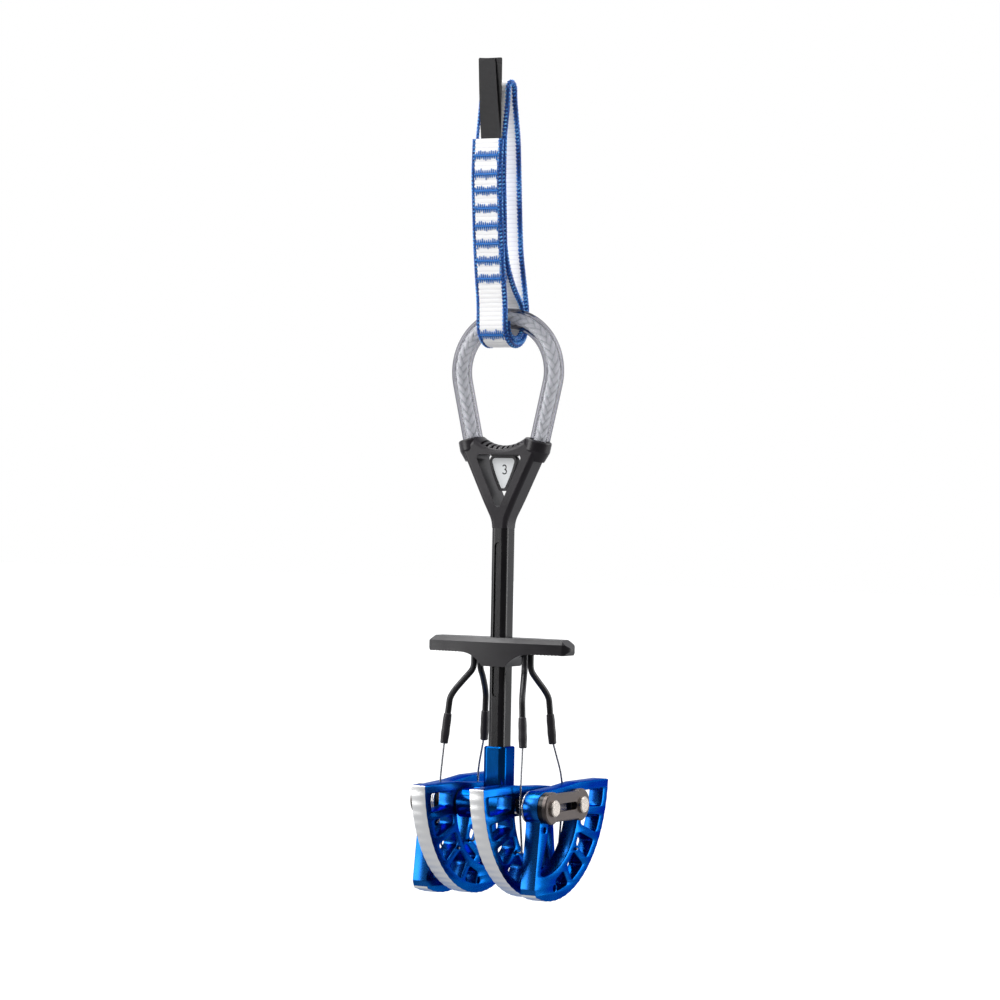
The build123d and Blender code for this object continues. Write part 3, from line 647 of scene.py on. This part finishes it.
def weavePlace(tree):
    # the piece's own map, in millimetres: across the strip or strand, then along it
    split = addNode(tree, "ShaderNodeSeparateXYZ",
                    {0: addNode(tree, "ShaderNodeUVMap", uv_map="weave").outputs[0]})
    return split.outputs[0], split.outputs[1]


def ridges(tree, value, pitch):
    # 0 in the valleys and 1 on the crests of rounded ridges a pitch apart
    turned = mathNode(tree, "MULTIPLY", value, math.pi / pitch)
    return mathNode(tree, "ABSOLUTE", mathNode(tree, "SINE", turned))


# The sling is one strip of webbing. Its route is the middle of its thickness, in x and z,
# from the cut end at the front, round the loop's tube, up the back, over and down inside.
slingSettings = {
    "y": 3.0,               # middle of the strip, along the loop's tube
    "corners": [(-15.1, 284.7), (-15.4, 268.0), (-13.4, 243.0), (-9.2, 214.0), (-9.2, 196.95),
                (9.2, 196.95), (9.2, 213.0), (3.6, 236.0), (1.3, 262.0), (-0.4, 286.0),
                (-4.2, 303.0), (-4.5, 309.5), (-10.2, 309.5), (-10.1, 302.0), (-12.45, 285.8),
                (-12.75, 268.0), (-10.75, 243.0), (-8.3, 227.0), (6.55, 213.2), (6.55, 199.6),
                (-6.55, 199.6), (-6.55, 207.1)],
    "radii": [60, 60, 60, 8.9, 8.9, 12, 60, 60, 60, 25, 2.7, 2.7, 25, 60, 60, 60, 40, 8, 6.2, 6.2],
    "step": 0.25,
    "smooth": 5.0,          # length over which the strip's stiffness evens out its bends
    "half": 0.98,           # half the white middle's thickness
    "middle": 6.0,          # half the white middle's width
    "beadAt": 6.4,          # middle of the braided edge
    "bead": (1.25, 1.36),   # half its width and half its thickness
    "rib": 1.95,
    "ribDepth": 0.1,
    "strand": 1.6,
    "strandDepth": 0.5,     # share of the edge's radius that is lost between two strands
    # the white: its greyer end is painted shade between the cross ribs
    "white": ("dedce0", "f8f7f6"),
    # navy as painted shade in the gaps, the blue, and a painted sheen on the crests
    "blue": ("02153c", "0c5cbc", "78c8ff"),
}


def slingRoute(s):
    corners = [(x, s["y"], z) for x, z in s["corners"]]
    path, _ = bentRoute(corners, s["radii"], s["step"])
    half = int(s["smooth"] / s["step"] / 2)
    before = 2 * path[0] - path[half:0:-1]
    after = 2 * path[-1] - path[-2:-half - 2:-1]
    return evenly(smoothed(np.concatenate([before, path, after]), half), s["step"])


slingPath, slingAlong = slingRoute(slingSettings)
slingOut = np.cross((0, 1.0, 0), directionsOf(slingPath))     # away from the eye on the front ply


def onSling(along, across, lift):
    # a point above the strip: how far along it, across it and off its middle
    along, across, lift = np.broadcast_arrays(*(np.asarray(v, float) for v in (along, across, lift)))
    place = np.stack([np.interp(along, slingAlong, slingPath[:, i]) for i in range(3)], -1)
    out = np.stack([np.interp(along, slingAlong, slingOut[:, i]) for i in range(3)], -1)
    return place + out * lift[..., None] + across[..., None] * np.array((0, 1.0, 0))


def withLift(piece, lift):
    # keeps how far each point stands out of its strands, 0 to 1, for the material to read: low points get
    # painted shade, high ones a painted highlight
    values = np.zeros(len(piece.data.vertices), np.float32)
    flat = np.asarray(lift, np.float32).ravel()
    values[:len(flat)] = flat
    piece.data.attributes.new("lift", "FLOAT", "POINT").data.foreach_set("value", values)
    return piece


def liftOf(tree):
    return addNode(tree, "ShaderNodeAttribute", attribute_name="lift").outputs["Fac"]


def ridge(value):
    return np.abs(np.sin(math.pi * value)) ** 0.75


def makeSling(s):
    # The woven middle: a flat section with round edges, carried along the route. Its height
    # falls a little between the cross ribs.
    bend = np.linspace(0, 0.5 * math.pi, 4)
    half = np.concatenate([s["middle"] - 0.5 + 0.8 * np.cos(bend), np.linspace(s["middle"] - 1.4, 0, 4)])
    lift = np.concatenate([np.sin(bend), np.ones(4)])
    top = np.concatenate([half, -half[-2::-1]])
    lift = np.concatenate([lift, lift[-2::-1]])
    across = np.concatenate([top, top[-2:0:-1]])
    lift = np.concatenate([lift, -lift[-2:0:-1]])
    along = slingAlong[:, None]
    ribs = s["ribDepth"] * (1 - ridge(along / s["rib"])) + 0.03 * np.sin(across * 9 + along * 2.1)
    grid = onSling(along + 0 * across, across + slingWander(along), lift * (s["half"] - ribs))
    uv = np.stack(np.broadcast_arrays(across, along), -1)
    return gridMesh("slingWebbing", grid, uv)


def slingWander(along):
    # how far the strip strays sideways, as hand sewn webbing does
    return 0.12 * np.sin(along / 23.0) + 0.06 * np.sin(along / 7.3)


def makeEdging(s):
    # The braided edges: an oval carried along each side, round which two sets of strands
    # slant opposite ways and take turns on top.
    along = slingAlong[:, None]
    turn = np.linspace(0, 2 * math.pi, 22, endpoint=False)[None]
    parts = []
    for side in (-1, 1):
        one = along / s["strand"] + turn / math.pi * 1.5 + 0.3 * side
        two = along / s["strand"] - turn / math.pi * 1.5 + 0.3 * side
        onTop = (np.floor(one) + np.floor(two)) % 2 == 0
        strands = np.where(onTop, ridge(one), ridge(two))
        shrink = 1 - s["strandDepth"] * (1 - strands)
        across = side * (s["beadAt"] + s["bead"][0] * np.cos(turn) * shrink)
        height = s["bead"][1] * np.sin(turn) * shrink
        grid = onSling(along + 0 * turn, across + slingWander(along), height)
        uv = np.stack(np.broadcast_arrays(turn, along), -1)
        number = np.where(onTop, np.floor(one), -np.floor(two))
        # each strand's height, times a random tone for each strand: the material paints its low parts as
        # painted shade and its crests as a painted sheen
        shadeAndTone = strands * (0.72 + 0.28 * np.sin(number * 12.9898))
        parts.append(withLift(gridMesh(f"edging{side}", grid, uv), shadeAndTone))
    return joinPieces("slingEdging", parts)


def wovenWebbing(s):
    # woven polyethylene webbing: glossy white filaments that can't be dyed, in cross ribs, greyer between
    # the ribs as painted shade
    material, tree, shader = newMaterial("wovenPolyethyleneSling", Roughness=0.55, Sheen_Weight=0.1,
                                         Sheen_Roughness=0.4)
    across, along = weavePlace(tree)
    ribs = ridges(tree, along, s["rib"])
    fuzz = noiseAt(tree, objectPlace(tree), 0.5, 3.0)
    # painted shade: the white goes greyer in the valleys between the cross ribs, plus a random fuzz
    shade = remap(tree, mathNode(tree, "MULTIPLY_ADD", fuzz, 0.5, ribs), 0.1, 0.7)
    setSocket(tree, shader, "Base Color", twoColours(tree, shade, s["white"]))
    threads = ridges(tree, mathNode(tree, "MULTIPLY_ADD", along, 0.35, across), 0.34)
    height = mathNode(tree, "MULTIPLY_ADD", fuzz, 1.2, threads)
    setSocket(tree, shader, "Normal", bumpFrom(tree, height, 0.06, 0.8))
    return material


def braidedEdge(s):
    # braided nylon edge, dyed blue: painted shade darkens it in the gaps between strands and a painted sheen
    # lightens their crests
    material, tree, shader = newMaterial("braidedNylonEdge", Roughness=0.36, Specular_IOR_Level=0.35)
    fuzz = noiseAt(tree, objectPlace(tree), 0.5, 3.0)
    shadeAndTone = mathNode(tree, "MULTIPLY", liftOf(tree), remap(tree, fuzz, 0.35, 0.65, 0.75, 1.15))
    setSocket(tree, shader, "Base Color", threeColours(tree, shadeAndTone, (0.15, 0.6, 1.0), s["blue"]))
    setSocket(tree, shader, "Normal", bumpFrom(tree, fuzz, 0.06, 0.8))
    return material


threadSettings = {
    "heights": (277.5, 269.5, 262.5, 255.0, 247.5, 240.0, 232.8, 225.2),
    "half": 5.75,           # half the width of a tack
    "thread": 0.19,
    "off": 0.1,             # from the strip's face to the threads' middle
    "stitch": 1.04,         # pitch of the long stitches
    "reach": 1.85,          # they go this far above and below the row
    "tight": 0.42,          # the tight zigzag's share of that pitch, and its reach
    "core": 0.2,            # from the row to the two flat threads under the stitches
    "ply": 2.65,            # from the front ply's middle to the next one's
    "lastAngle": 30.0,      # of the lowest tack, below the middle of the turn
    "turnCentre": 206.15,
    "frontPly": 110.0,      # length of strip that holds the front ply
    "turn": (70.0, 100.0),  # the stretch of it that goes round the loop's tube
    # dark as painted shade in the twist's grooves, lighter on its crests
    "colour": ("0a4596", "2b86de"),
}


def sewnThread(s):
    # bonded polyester thread, two strands twisted; painted shade darkens the twist's grooves and its crests
    # are lighter
    material, tree, shader = newMaterial("bondedPolyesterThread", Roughness=0.42, Specular_IOR_Level=0.35)
    around, along = weavePlace(tree)
    twist = ridges(tree, mathNode(tree, "MULTIPLY_ADD", around, 0.9, along), 0.45)
    # painted shade: darker in the twist's grooves, lighter on its crests
    setSocket(tree, shader, "Base Color", twoColours(tree, twist, s["colour"]))
    setSocket(tree, shader, "Normal", bumpFrom(tree, twist, 0.08))
    return material


def makeTacks(s):
    # Each row is a zigzag of long stitches, a tight one over its middle and a flat core,
    # on the front ply's face and again behind the middle ply.
    front = slingAlong < s["frontPly"]
    rows = [float(np.interp(-z, -slingPath[front, 2], slingAlong[front])) for z in s["heights"]]
    inTurn = (slingAlong > s["turn"][0]) & (slingAlong < s["turn"][1])
    angles = np.degrees(np.arctan2(s["turnCentre"] - slingPath[:, 2], -slingPath[:, 0]))
    rows.append(float(np.interp(s["lastAngle"], angles[inTurn], slingAlong[inTurn])))
    top = slingSettings["half"] + s["off"]
    across = np.linspace(-s["half"], s["half"], 320)
    flat = np.linspace(-s["half"], s["half"], 24)
    threads = []
    for number, row in enumerate(rows):
        seed = number * 1.7
        long = np.arcsin(np.sin(2 * math.pi * across / s["stitch"] + seed)) / (0.5 * math.pi)
        uneven = 1 + 0.16 * np.sin(across * 2.3 + seed) + 0.18 * np.sin(across * 7.1 + seed)
        tight = np.arcsin(np.sin(2 * math.pi * across / (s["tight"] * s["stitch"]) + seed)) / (0.5 * math.pi)
        zigzags = ((long * uneven, s["reach"], 0.08, s["thread"]),
                   (tight, s["tight"], 0.22, s["thread"] * 1.1))
        # the lowest row, in the turn, shows only in front
        for lift in (top, -s["ply"] - top)[:1 if number == len(s["heights"]) else 2]:
            for wave, reach, above, radius in zigzags:
                path = onSling(row + wave * reach, across, lift + np.sign(lift) * above * np.cos(wave))
                threads.append((path, radius))
            for offset in (-s["core"], s["core"]):
                path = onSling(row + offset + 0.05 * np.sin(flat * 2), flat, lift)
                threads.append((path, s["thread"] * 1.2))
    # one thread runs down the edge from the first row to the last of the straight ones
    down = np.linspace(rows[0] - 1, rows[-2] + 1, 120)
    threads.append((onSling(down, -s["half"] + 0.35 + 0.14 * np.sin(down * 0.9), top - 0.08), 0.17))
    parts = [roundTube(f"tack{i}", path, radius, (1.0, 0.02, 0.03), around=6, uvAlong=lengthsAlong(path))
             for i, (path, radius) in enumerate(threads)]
    return joinPieces("slingTacks", parts)


labelSettings = {
    "x": -14.4,
    "low": 284.2,
    "high": 319.4,
    "front": ((-2.9, 6.7), (0.5, 8.7)),     # y of its sides, at the bottom and the top
    "back": ((-2.5, 6.6), (-2.6, 7.0)),
    "sheet": 0.34,          # thickness of each layer
    "apart": 0.32,          # of the layers' middles from the tab's middle
    # darker as painted shade in the weave's valleys, lighter on its crests
    "colour": ("08070a", "121013"),
}


def makeLabel(s):
    # Two flat layers of tape, one behind the other and askew, each a thin closed slab that
    # bows a little: x = bow * sin of the height, y runs between its two slanting sides.
    parts = []
    for name, turn in (("front", -1), ("back", 1)):
        (low0, low1), (high0, high1) = s[name]
        t = np.linspace(0, 1, 60)[:, None]
        u = np.linspace(0, 1, 16)[None]
        inset = 0.35 * np.clip((t - 0.985) / 0.015, 0, 1)
        y = (low0 + (high0 - low0) * t + inset) * (1 - u) + (low1 + (high1 - low1) * t - inset) * u
        z = s["low"] + (s["high"] - s["low"]) * t + 0 * u + (0.5 * u - 0.3) * (turn < 0) * t
        bow = turn * (s["apart"] * (1 - 0.3 * t) + 0.25 * np.sin(math.pi * t) * (0.5 + u))
        faces = [s["x"] + bow + side * s["sheet"] / 2 for side in (-1, 1)]
        sheets = [np.stack(np.broadcast_arrays(x, y, z), -1) for x in faces]
        grid = np.concatenate([sheets[0], sheets[1][:, ::-1]], axis=1)
        columns = np.concatenate([y, y[:, ::-1]], axis=1)
        uv = np.stack([columns, np.concatenate([z, z[:, ::-1]], axis=1)], -1)
        parts.append(gridMesh(f"label{name}", grid, uv, sharpAngle=30))
    return joinPieces("slingLabel", parts)


def wovenTape(s):
    # woven polyester tape: a fine plain weave, with a dull shine along its threads; its colour is darker in
    # the weave's valleys as painted shade
    material, tree, shader = newMaterial("wovenPolyesterTape", Roughness=0.5, Specular_IOR_Level=0.3)
    across, along = weavePlace(tree)
    weft = ridges(tree, along, 0.5)
    warp = ridges(tree, across, 0.42)
    height = mathNode(tree, "ADD", weft, mathNode(tree, "MULTIPLY", warp, 0.6))
    # painted shade: darker in the valleys of the weave, lighter on its crests
    shade = mathNode(tree, "MULTIPLY", height, 0.6)
    setSocket(tree, shader, "Base Color", twoColours(tree, shade, s["colour"]))
    setSocket(tree, shader, "Normal", bumpFrom(tree, height, 0.05))
    return material


def joinPieces(name, parts):
    # several meshes as one, with their maps kept
    mesh = bpy.data.meshes.new(name)
    work = bmesh.new()
    for part in parts:
        work.from_mesh(part.data)
    work.to_mesh(mesh)
    work.free()
    for part in parts:
        bpy.data.objects.remove(part)
    mesh.set_sharp_from_angle(angle=math.radians(40))
    piece = bpy.data.objects.new(name, mesh)
    bpy.context.scene.collection.objects.link(piece)
    return piece


slingPiece = dress(makeSling(slingSettings), "sling_body", wovenWebbing(slingSettings), "webbing", "sling")
edgePiece = dress(makeEdging(slingSettings), "sling_body", braidedEdge(slingSettings), "webbing")
tackPiece = dress(makeTacks(threadSettings), "sling_body", sewnThread(threadSettings), "stitching",
                  "bar_tacks")
labelPiece = dress(makeLabel(labelSettings), "sling_body", wovenTape(labelSettings), "label",
                   "sling_label")
print("sling sewn")

loopSettings = {
    "radius": 22.9,
    "height": 185.7,        # centre of the round part
    "legAngle": 13.0,
    "socket": 150.0,        # the legs go down to here inside the yoke
    "outer": 4.36,
    "bore": 3.0,
    "cord": 2.72,
    "strands": 6,           # each way round
    "lay": 24.0,            # length in which a strand goes once round
    "relief": 0.55,
    # grey as painted shade in the gaps, then white, and a painted highlight on the crests
    "colour": ("a9aeaf", "eef0ef", "ffffff"),
}


def loopRoute(s, step):
    angle = math.radians(s["legAngle"])
    socket = s["socket"]
    y, z = s["radius"] * math.cos(angle), s["height"] - s["radius"] * math.sin(angle)
    foot = y - (z - socket) * math.tan(angle)
    turn = np.linspace(-angle, math.pi + angle, 160)
    arc = np.stack([0 * turn, s["radius"] * np.cos(turn), s["height"] + s["radius"] * np.sin(turn)], -1)
    path = np.concatenate([[(0, foot, socket)], arc, [(0, -foot, socket)]])
    return evenly(path, step)


def makeHose(s):
    # The hose's wall: the outer circle and the bore, both carried along the loop.
    path, _ = loopRoute(s, 0.8)
    _, rings = ringsAlong(path, (1.0, 0, 0), 64)
    outer = path[:, None] + s["outer"] * rings
    inner = path[::-1, None] + s["bore"] * rings[::-1]
    return gridMesh("loopHose", np.concatenate([outer, inner]), rowsClosed=True, sharpAngle=40)


def makeBraid(name, path, along, s, radius, across):
    # A twelve strand braid: two sets wind opposite ways, each over two and under two of the
    # other, so that rows of slanting strands meet in chevrons. The height is the root of a
    # sine across a strand, times a sine along the stretch in which it lies on top.
    around = 120
    angle = np.linspace(0, 2 * math.pi, around, endpoint=False)[None]
    turns = s["strands"] * angle / (2 * math.pi) + 1.25
    travel = s["strands"] * along[:, None] / s["lay"]
    one, two = turns + travel, turns - travel
    first, second = np.floor(one), np.floor(two)
    onTop = (first + second) % 4 < 2
    reach = np.where(onTop, (two + first) % 4, (one + second - 2) % 4) / 2
    crest = np.sqrt(np.abs(np.sin(math.pi * np.where(onTop, one, two))))
    lift = crest * (0.35 + 0.65 * np.sqrt(np.clip(np.sin(math.pi * reach), 0, 1)))
    piece = roundTube(name, path, radius - s["relief"] * (1 - lift), across, around=around, uvAlong=along)
    return withLift(piece, lift)


def braidedCord(s):
    # braided polyethylene cord: slick light filaments, darker in the gaps between strands as painted shade
    # and white on their crests as a painted highlight, with a random tone
    material, tree, shader = newMaterial("braidedPolyethyleneLoop", Roughness=0.3, Sheen_Weight=0.1)
    fuzz = noiseAt(tree, objectPlace(tree), 0.9, 4.0, 0.7)
    # painted shade and highlight from the strands' height, with a random tone
    shadeAndTone = mathNode(tree, "MULTIPLY", liftOf(tree), remap(tree, fuzz, 0.3, 0.7, 0.8, 1.15))
    setSocket(tree, shader, "Base Color", threeColours(tree, shadeAndTone, (0.1, 0.55, 0.95), s["colour"]))
    around, along = weavePlace(tree)
    filaments = ridges(tree, mathNode(tree, "MULTIPLY_ADD", around, 14.0, along), 0.3)
    setSocket(tree, shader, "Normal", bumpFrom(tree, mathNode(tree, "ADD", filaments, fuzz), 0.04))
    return material


def clearHose():
    # clear soft PVC hose, extruded: smooth and faintly violet grey, with painted shade darkening its walls
    # where they are seen edge on
    material, tree, shader = newMaterial("clearPvcHose", Roughness=0.05, IOR=1.16, Transmission_Weight=1.0)
    facing = addNode(tree, "ShaderNodeLayerWeight", {"Blend": 0.5}).outputs["Facing"]
    # painted shade: the tint turns grey where the walls are seen edge on
    tint = twoColours(tree, remap(tree, facing, 0.16, 0.5), ("ececef", "9d9ca8"))
    setSocket(tree, shader, "Base Color", tint)
    faint = noiseAt(tree, objectPlace(tree), 9.0)
    setSocket(tree, shader, "Normal", bumpFrom(tree, faint, 0.05, 0.5))
    # painted shade: a near black shader mixed in more and more towards the edge on walls
    paintedRimShade = addNode(tree, "ShaderNodeBsdfPrincipled", {"Base Color": linear("12101a"), "Roughness": 0.25,
                                                      "Specular IOR Level": 0.2})
    share = remap(tree, facing, 0.42, 0.8, 0.05, 0.9)
    mixed = addNode(tree, "ShaderNodeMixShader", {0: share, 1: shader.outputs[0], 2: paintedRimShade.outputs[0]})
    tree.links.new(mixed.outputs[0], tree.nodes["Material Output"].inputs["Surface"])
    return material


dress(makeHose(loopSettings), "stem_body", clearHose(), "clear_tube", "thumb_loop_tube")
cordPath, cordAlong = loopRoute(loopSettings, 0.3)
dress(makeBraid("loopCord", cordPath, cordAlong, loopSettings, loopSettings["cord"], (1.0, 0, 0)),
      "stem_body", braidedCord(loopSettings), "braid", "thumb_loop_cord")
print("thumb loop made")

# Each lobe's wire hooks through its rim, goes up the gap beside it and past the other axle
# to a crimp under a shrunk sleeve, and a black jacketed cable goes on into the trigger.
wireSettings = {
    "holeRadius": 33.7,
    "holeAngle": -35.4,
    "wire": 0.45,
    "cable": 1.35,
    "sleeve": 1.85,
    "pastAxle": 4.75,       # from the other axle's middle to the wire
    "top": (2.6, 12.6, 62.6),
    "outer": {"tip": 30.45, "lane": 21.2, "low": (15.0, 17.2, 25.0), "high": (14.0, 16.3, 38.0)},
    "inner": {"tip": 10.9, "lane": 20.0, "low": (15.0, 19.6, 25.0), "high": (14.0, 18.5, 38.0)},
}


def makeWire(number, s):
    # bare wire, sleeve and cable of one lobe, mirrored to its side
    outer, mirror = sidesOf(number)
    own = s["outer" if outer else "inner"]
    angle = math.radians(s["holeAngle"])
    holeX = s["holeRadius"] * math.cos(angle) - halfSpacing
    holeZ = s["holeRadius"] * math.sin(angle)
    passX = halfSpacing + s["pastAxle"]
    low, high, top = np.array(own["low"]), np.array(own["high"]), np.array(s["top"])
    axis = (high - low) / np.linalg.norm(high - low)
    corners = [(holeX, own["tip"], holeZ), (holeX, own["lane"], holeZ), (passX, own["lane"], -1.0),
               (passX - 0.5, own["lane"], 11.0), tuple(low + axis * 2)]
    path, _ = bentRoute(corners, [1.2, 30.0, 40.0], 0.4)
    wire = roundTube(f"bareWire{number}", path * mirror, s["wire"], (0.3, 0.9, 0.1), around=12)

    path, along = evenly(np.array([low, high]), 0.4)
    ends = np.clip(np.minimum(along, along[-1] - along) / 0.4, 0, 1)
    waist = 0.05 * np.sin(along * 1.1) + 0.05 * np.cos(along * 0.5)
    sleeve = roundTube(f"shrunkSleeve{number}", path * mirror,
                       s["sleeve"] - 0.3 * (1 - np.sqrt(1 - (1 - ends) ** 2)) - 0.06 - waist,
                       (0.3, 0.9, 0.1), around=28)

    below = np.array((6.2, (high[1] + top[1]) / 2 - 1.2, 53.6))
    route = [high - axis * 2, high + axis * 3.0, high + axis * 8.0, below, top - (0, 0, 5.4), top,
             top + (0, 0, 4.5)]
    path, along = softRoute(route, 0.5)
    cable = roundTube(f"blackCable{number}", path * mirror, s["cable"], (0.3, 0.9, 0.1), around=24,
                      uvAlong=along)
    body = f"wire_{number}_body"
    dress(wire, body, wireSteel, "spring_steel", f"trigger_wire_{number}")
    dress(sleeve, body, sleeveBlack, "crimp", f"crimp_sleeve_{number}")
    dress(cable, body, cableBlack, "cable_jacket", f"trigger_cable_{number}")


wireSteel = turnedSteel("drawnSteelWire", ("7f8083", "a6a7ab"), 0.24)
sleeveBlack = mouldedNylon("shrunkSleeve", (("1d1b1e", "29262a"), 0.40, 0.5, 0.03))
cableBlack = mouldedNylon("cableJacket", (("111013", "1b1a1d"), 0.33, 0.8, 0.03))
for number in (1, 2, 3, 4):
    makeWire(number, wireSettings)
print("trigger wires made")

springSettings = {
    "coil": 6.4,
    "wire": 0.42,
    "pitch": 0.88,
    "margin": 0.57,         # from the lobe's face to the middle of the nearest coil's wire
    "hole": (0.17, -9.5),   # in the lobe, from its pivot
    "into": 2.5,            # how far the hooked end goes into the hole
    "bush": 3.9,
    "past": 1.8,            # the other end lies under the other axle's bush and just past it
}


def makeSpring(number, s):
    # A helix round the axle with a leg at each end: angle runs from where the hooked leg
    # touches the coil to its lowest point, and y goes a pitch for each turn.
    outer, mirror = sidesOf(number)
    far = 4 if outer else 3
    edges = nodeBox(f"lobe_{far}")
    face = edges[0][1] if outer else edges[1][1]
    away = -1.0 if outer else 1.0
    moving = face + away * s["margin"]
    reach = math.hypot(*s["hole"])
    touch = math.atan2(s["hole"][1], s["hole"][0]) + math.acos(s["coil"] / reach)
    turned = math.radians(630) - touch
    angle = np.linspace(touch, touch + turned, 150)
    length = turned / (2 * math.pi) * s["pitch"]
    y = moving + away * length * (angle - touch) / turned
    coil = np.stack([s["coil"] * np.cos(angle), y, s["coil"] * np.sin(angle)], -1)
    hookEnd = face - away * s["into"]
    hook = [(s["hole"][0], hookEnd, s["hole"][1]), (s["hole"][0], moving, s["hole"][1]), tuple(coil[0])]
    hookPath, _ = bentRoute(hook, [0.7], 0.3)
    leg = (2 * halfSpacing + s["past"], y[-1], -(s["bush"] + s["wire"] + 0.08))
    path = np.concatenate([hookPath[:-1], coil, [leg]]) - (halfSpacing, 0, 0)
    path, _ = evenly(path * mirror, 0.35)
    piece = roundTube(f"torsionSpring{number}", path, s["wire"], (0.3, 0.1, 0.95), around=12)
    dress(piece, None, wireSteelBright, "spring_steel", f"spring_{number}")
    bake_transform(piece)


wireSteelBright = turnedSteel("drawnSpringSteel", ("b4b2b0", "d9d6d2"), 0.18)
for number in (1, 2, 3, 4):
    makeSpring(number, springSettings)
print("springs wound")

numberSettings = {
    "height": 4.3,
    "width": 2.5,
    "stroke": 0.27,
    "middle": 143.4,
    "relief": 0.25,         # the stroke is flattened to this share of its width
}


def makeNumber(name, node, side, s):
    # a printed 3: two round strokes, one over the other, flattened on to the plate
    low, high = nodeBox(node)
    face = low[0] if side < 0 else high[0]
    upper = np.radians(np.linspace(155, -80, 40))
    lower = np.radians(np.linspace(80, -155, 40))
    wide, tall = s["width"] / 2 - s["stroke"], s["height"] / 4 - s["stroke"] / 2
    right = np.concatenate([np.cos(upper) * wide * 0.9 - 0.1, np.cos(lower) * wide])
    rise = np.concatenate([np.sin(upper) * tall + tall, np.sin(lower) * tall - tall])
    path = np.stack([0 * right, right * side, rise + s["middle"]], -1)
    path, _ = evenly(path, 0.12)
    piece = roundTube(name, path, s["stroke"], (1.0, 0, 0), around=10)
    points = np.zeros(len(piece.data.vertices) * 3)
    piece.data.vertices.foreach_get("co", points)
    points = points.reshape(-1, 3)
    points[:, 0] = (points[:, 0] - axleMiddle[0]) * s["relief"] + axleMiddle[0] + face * mm
    piece.data.vertices.foreach_set("co", points.ravel())
    piece.data.update()
    dress(piece, "stem_body", numberInk, "black_plastic")


numberInk = mouldedNylon("printedInk", (("060607", "0c0c0d"), 0.5, 0.3, 0.004))
makeNumber("nearNumber", "near_size_plate", -1, numberSettings)
makeNumber("farNumber", "far_size_plate", 1, numberSettings)
print("numbers printed")
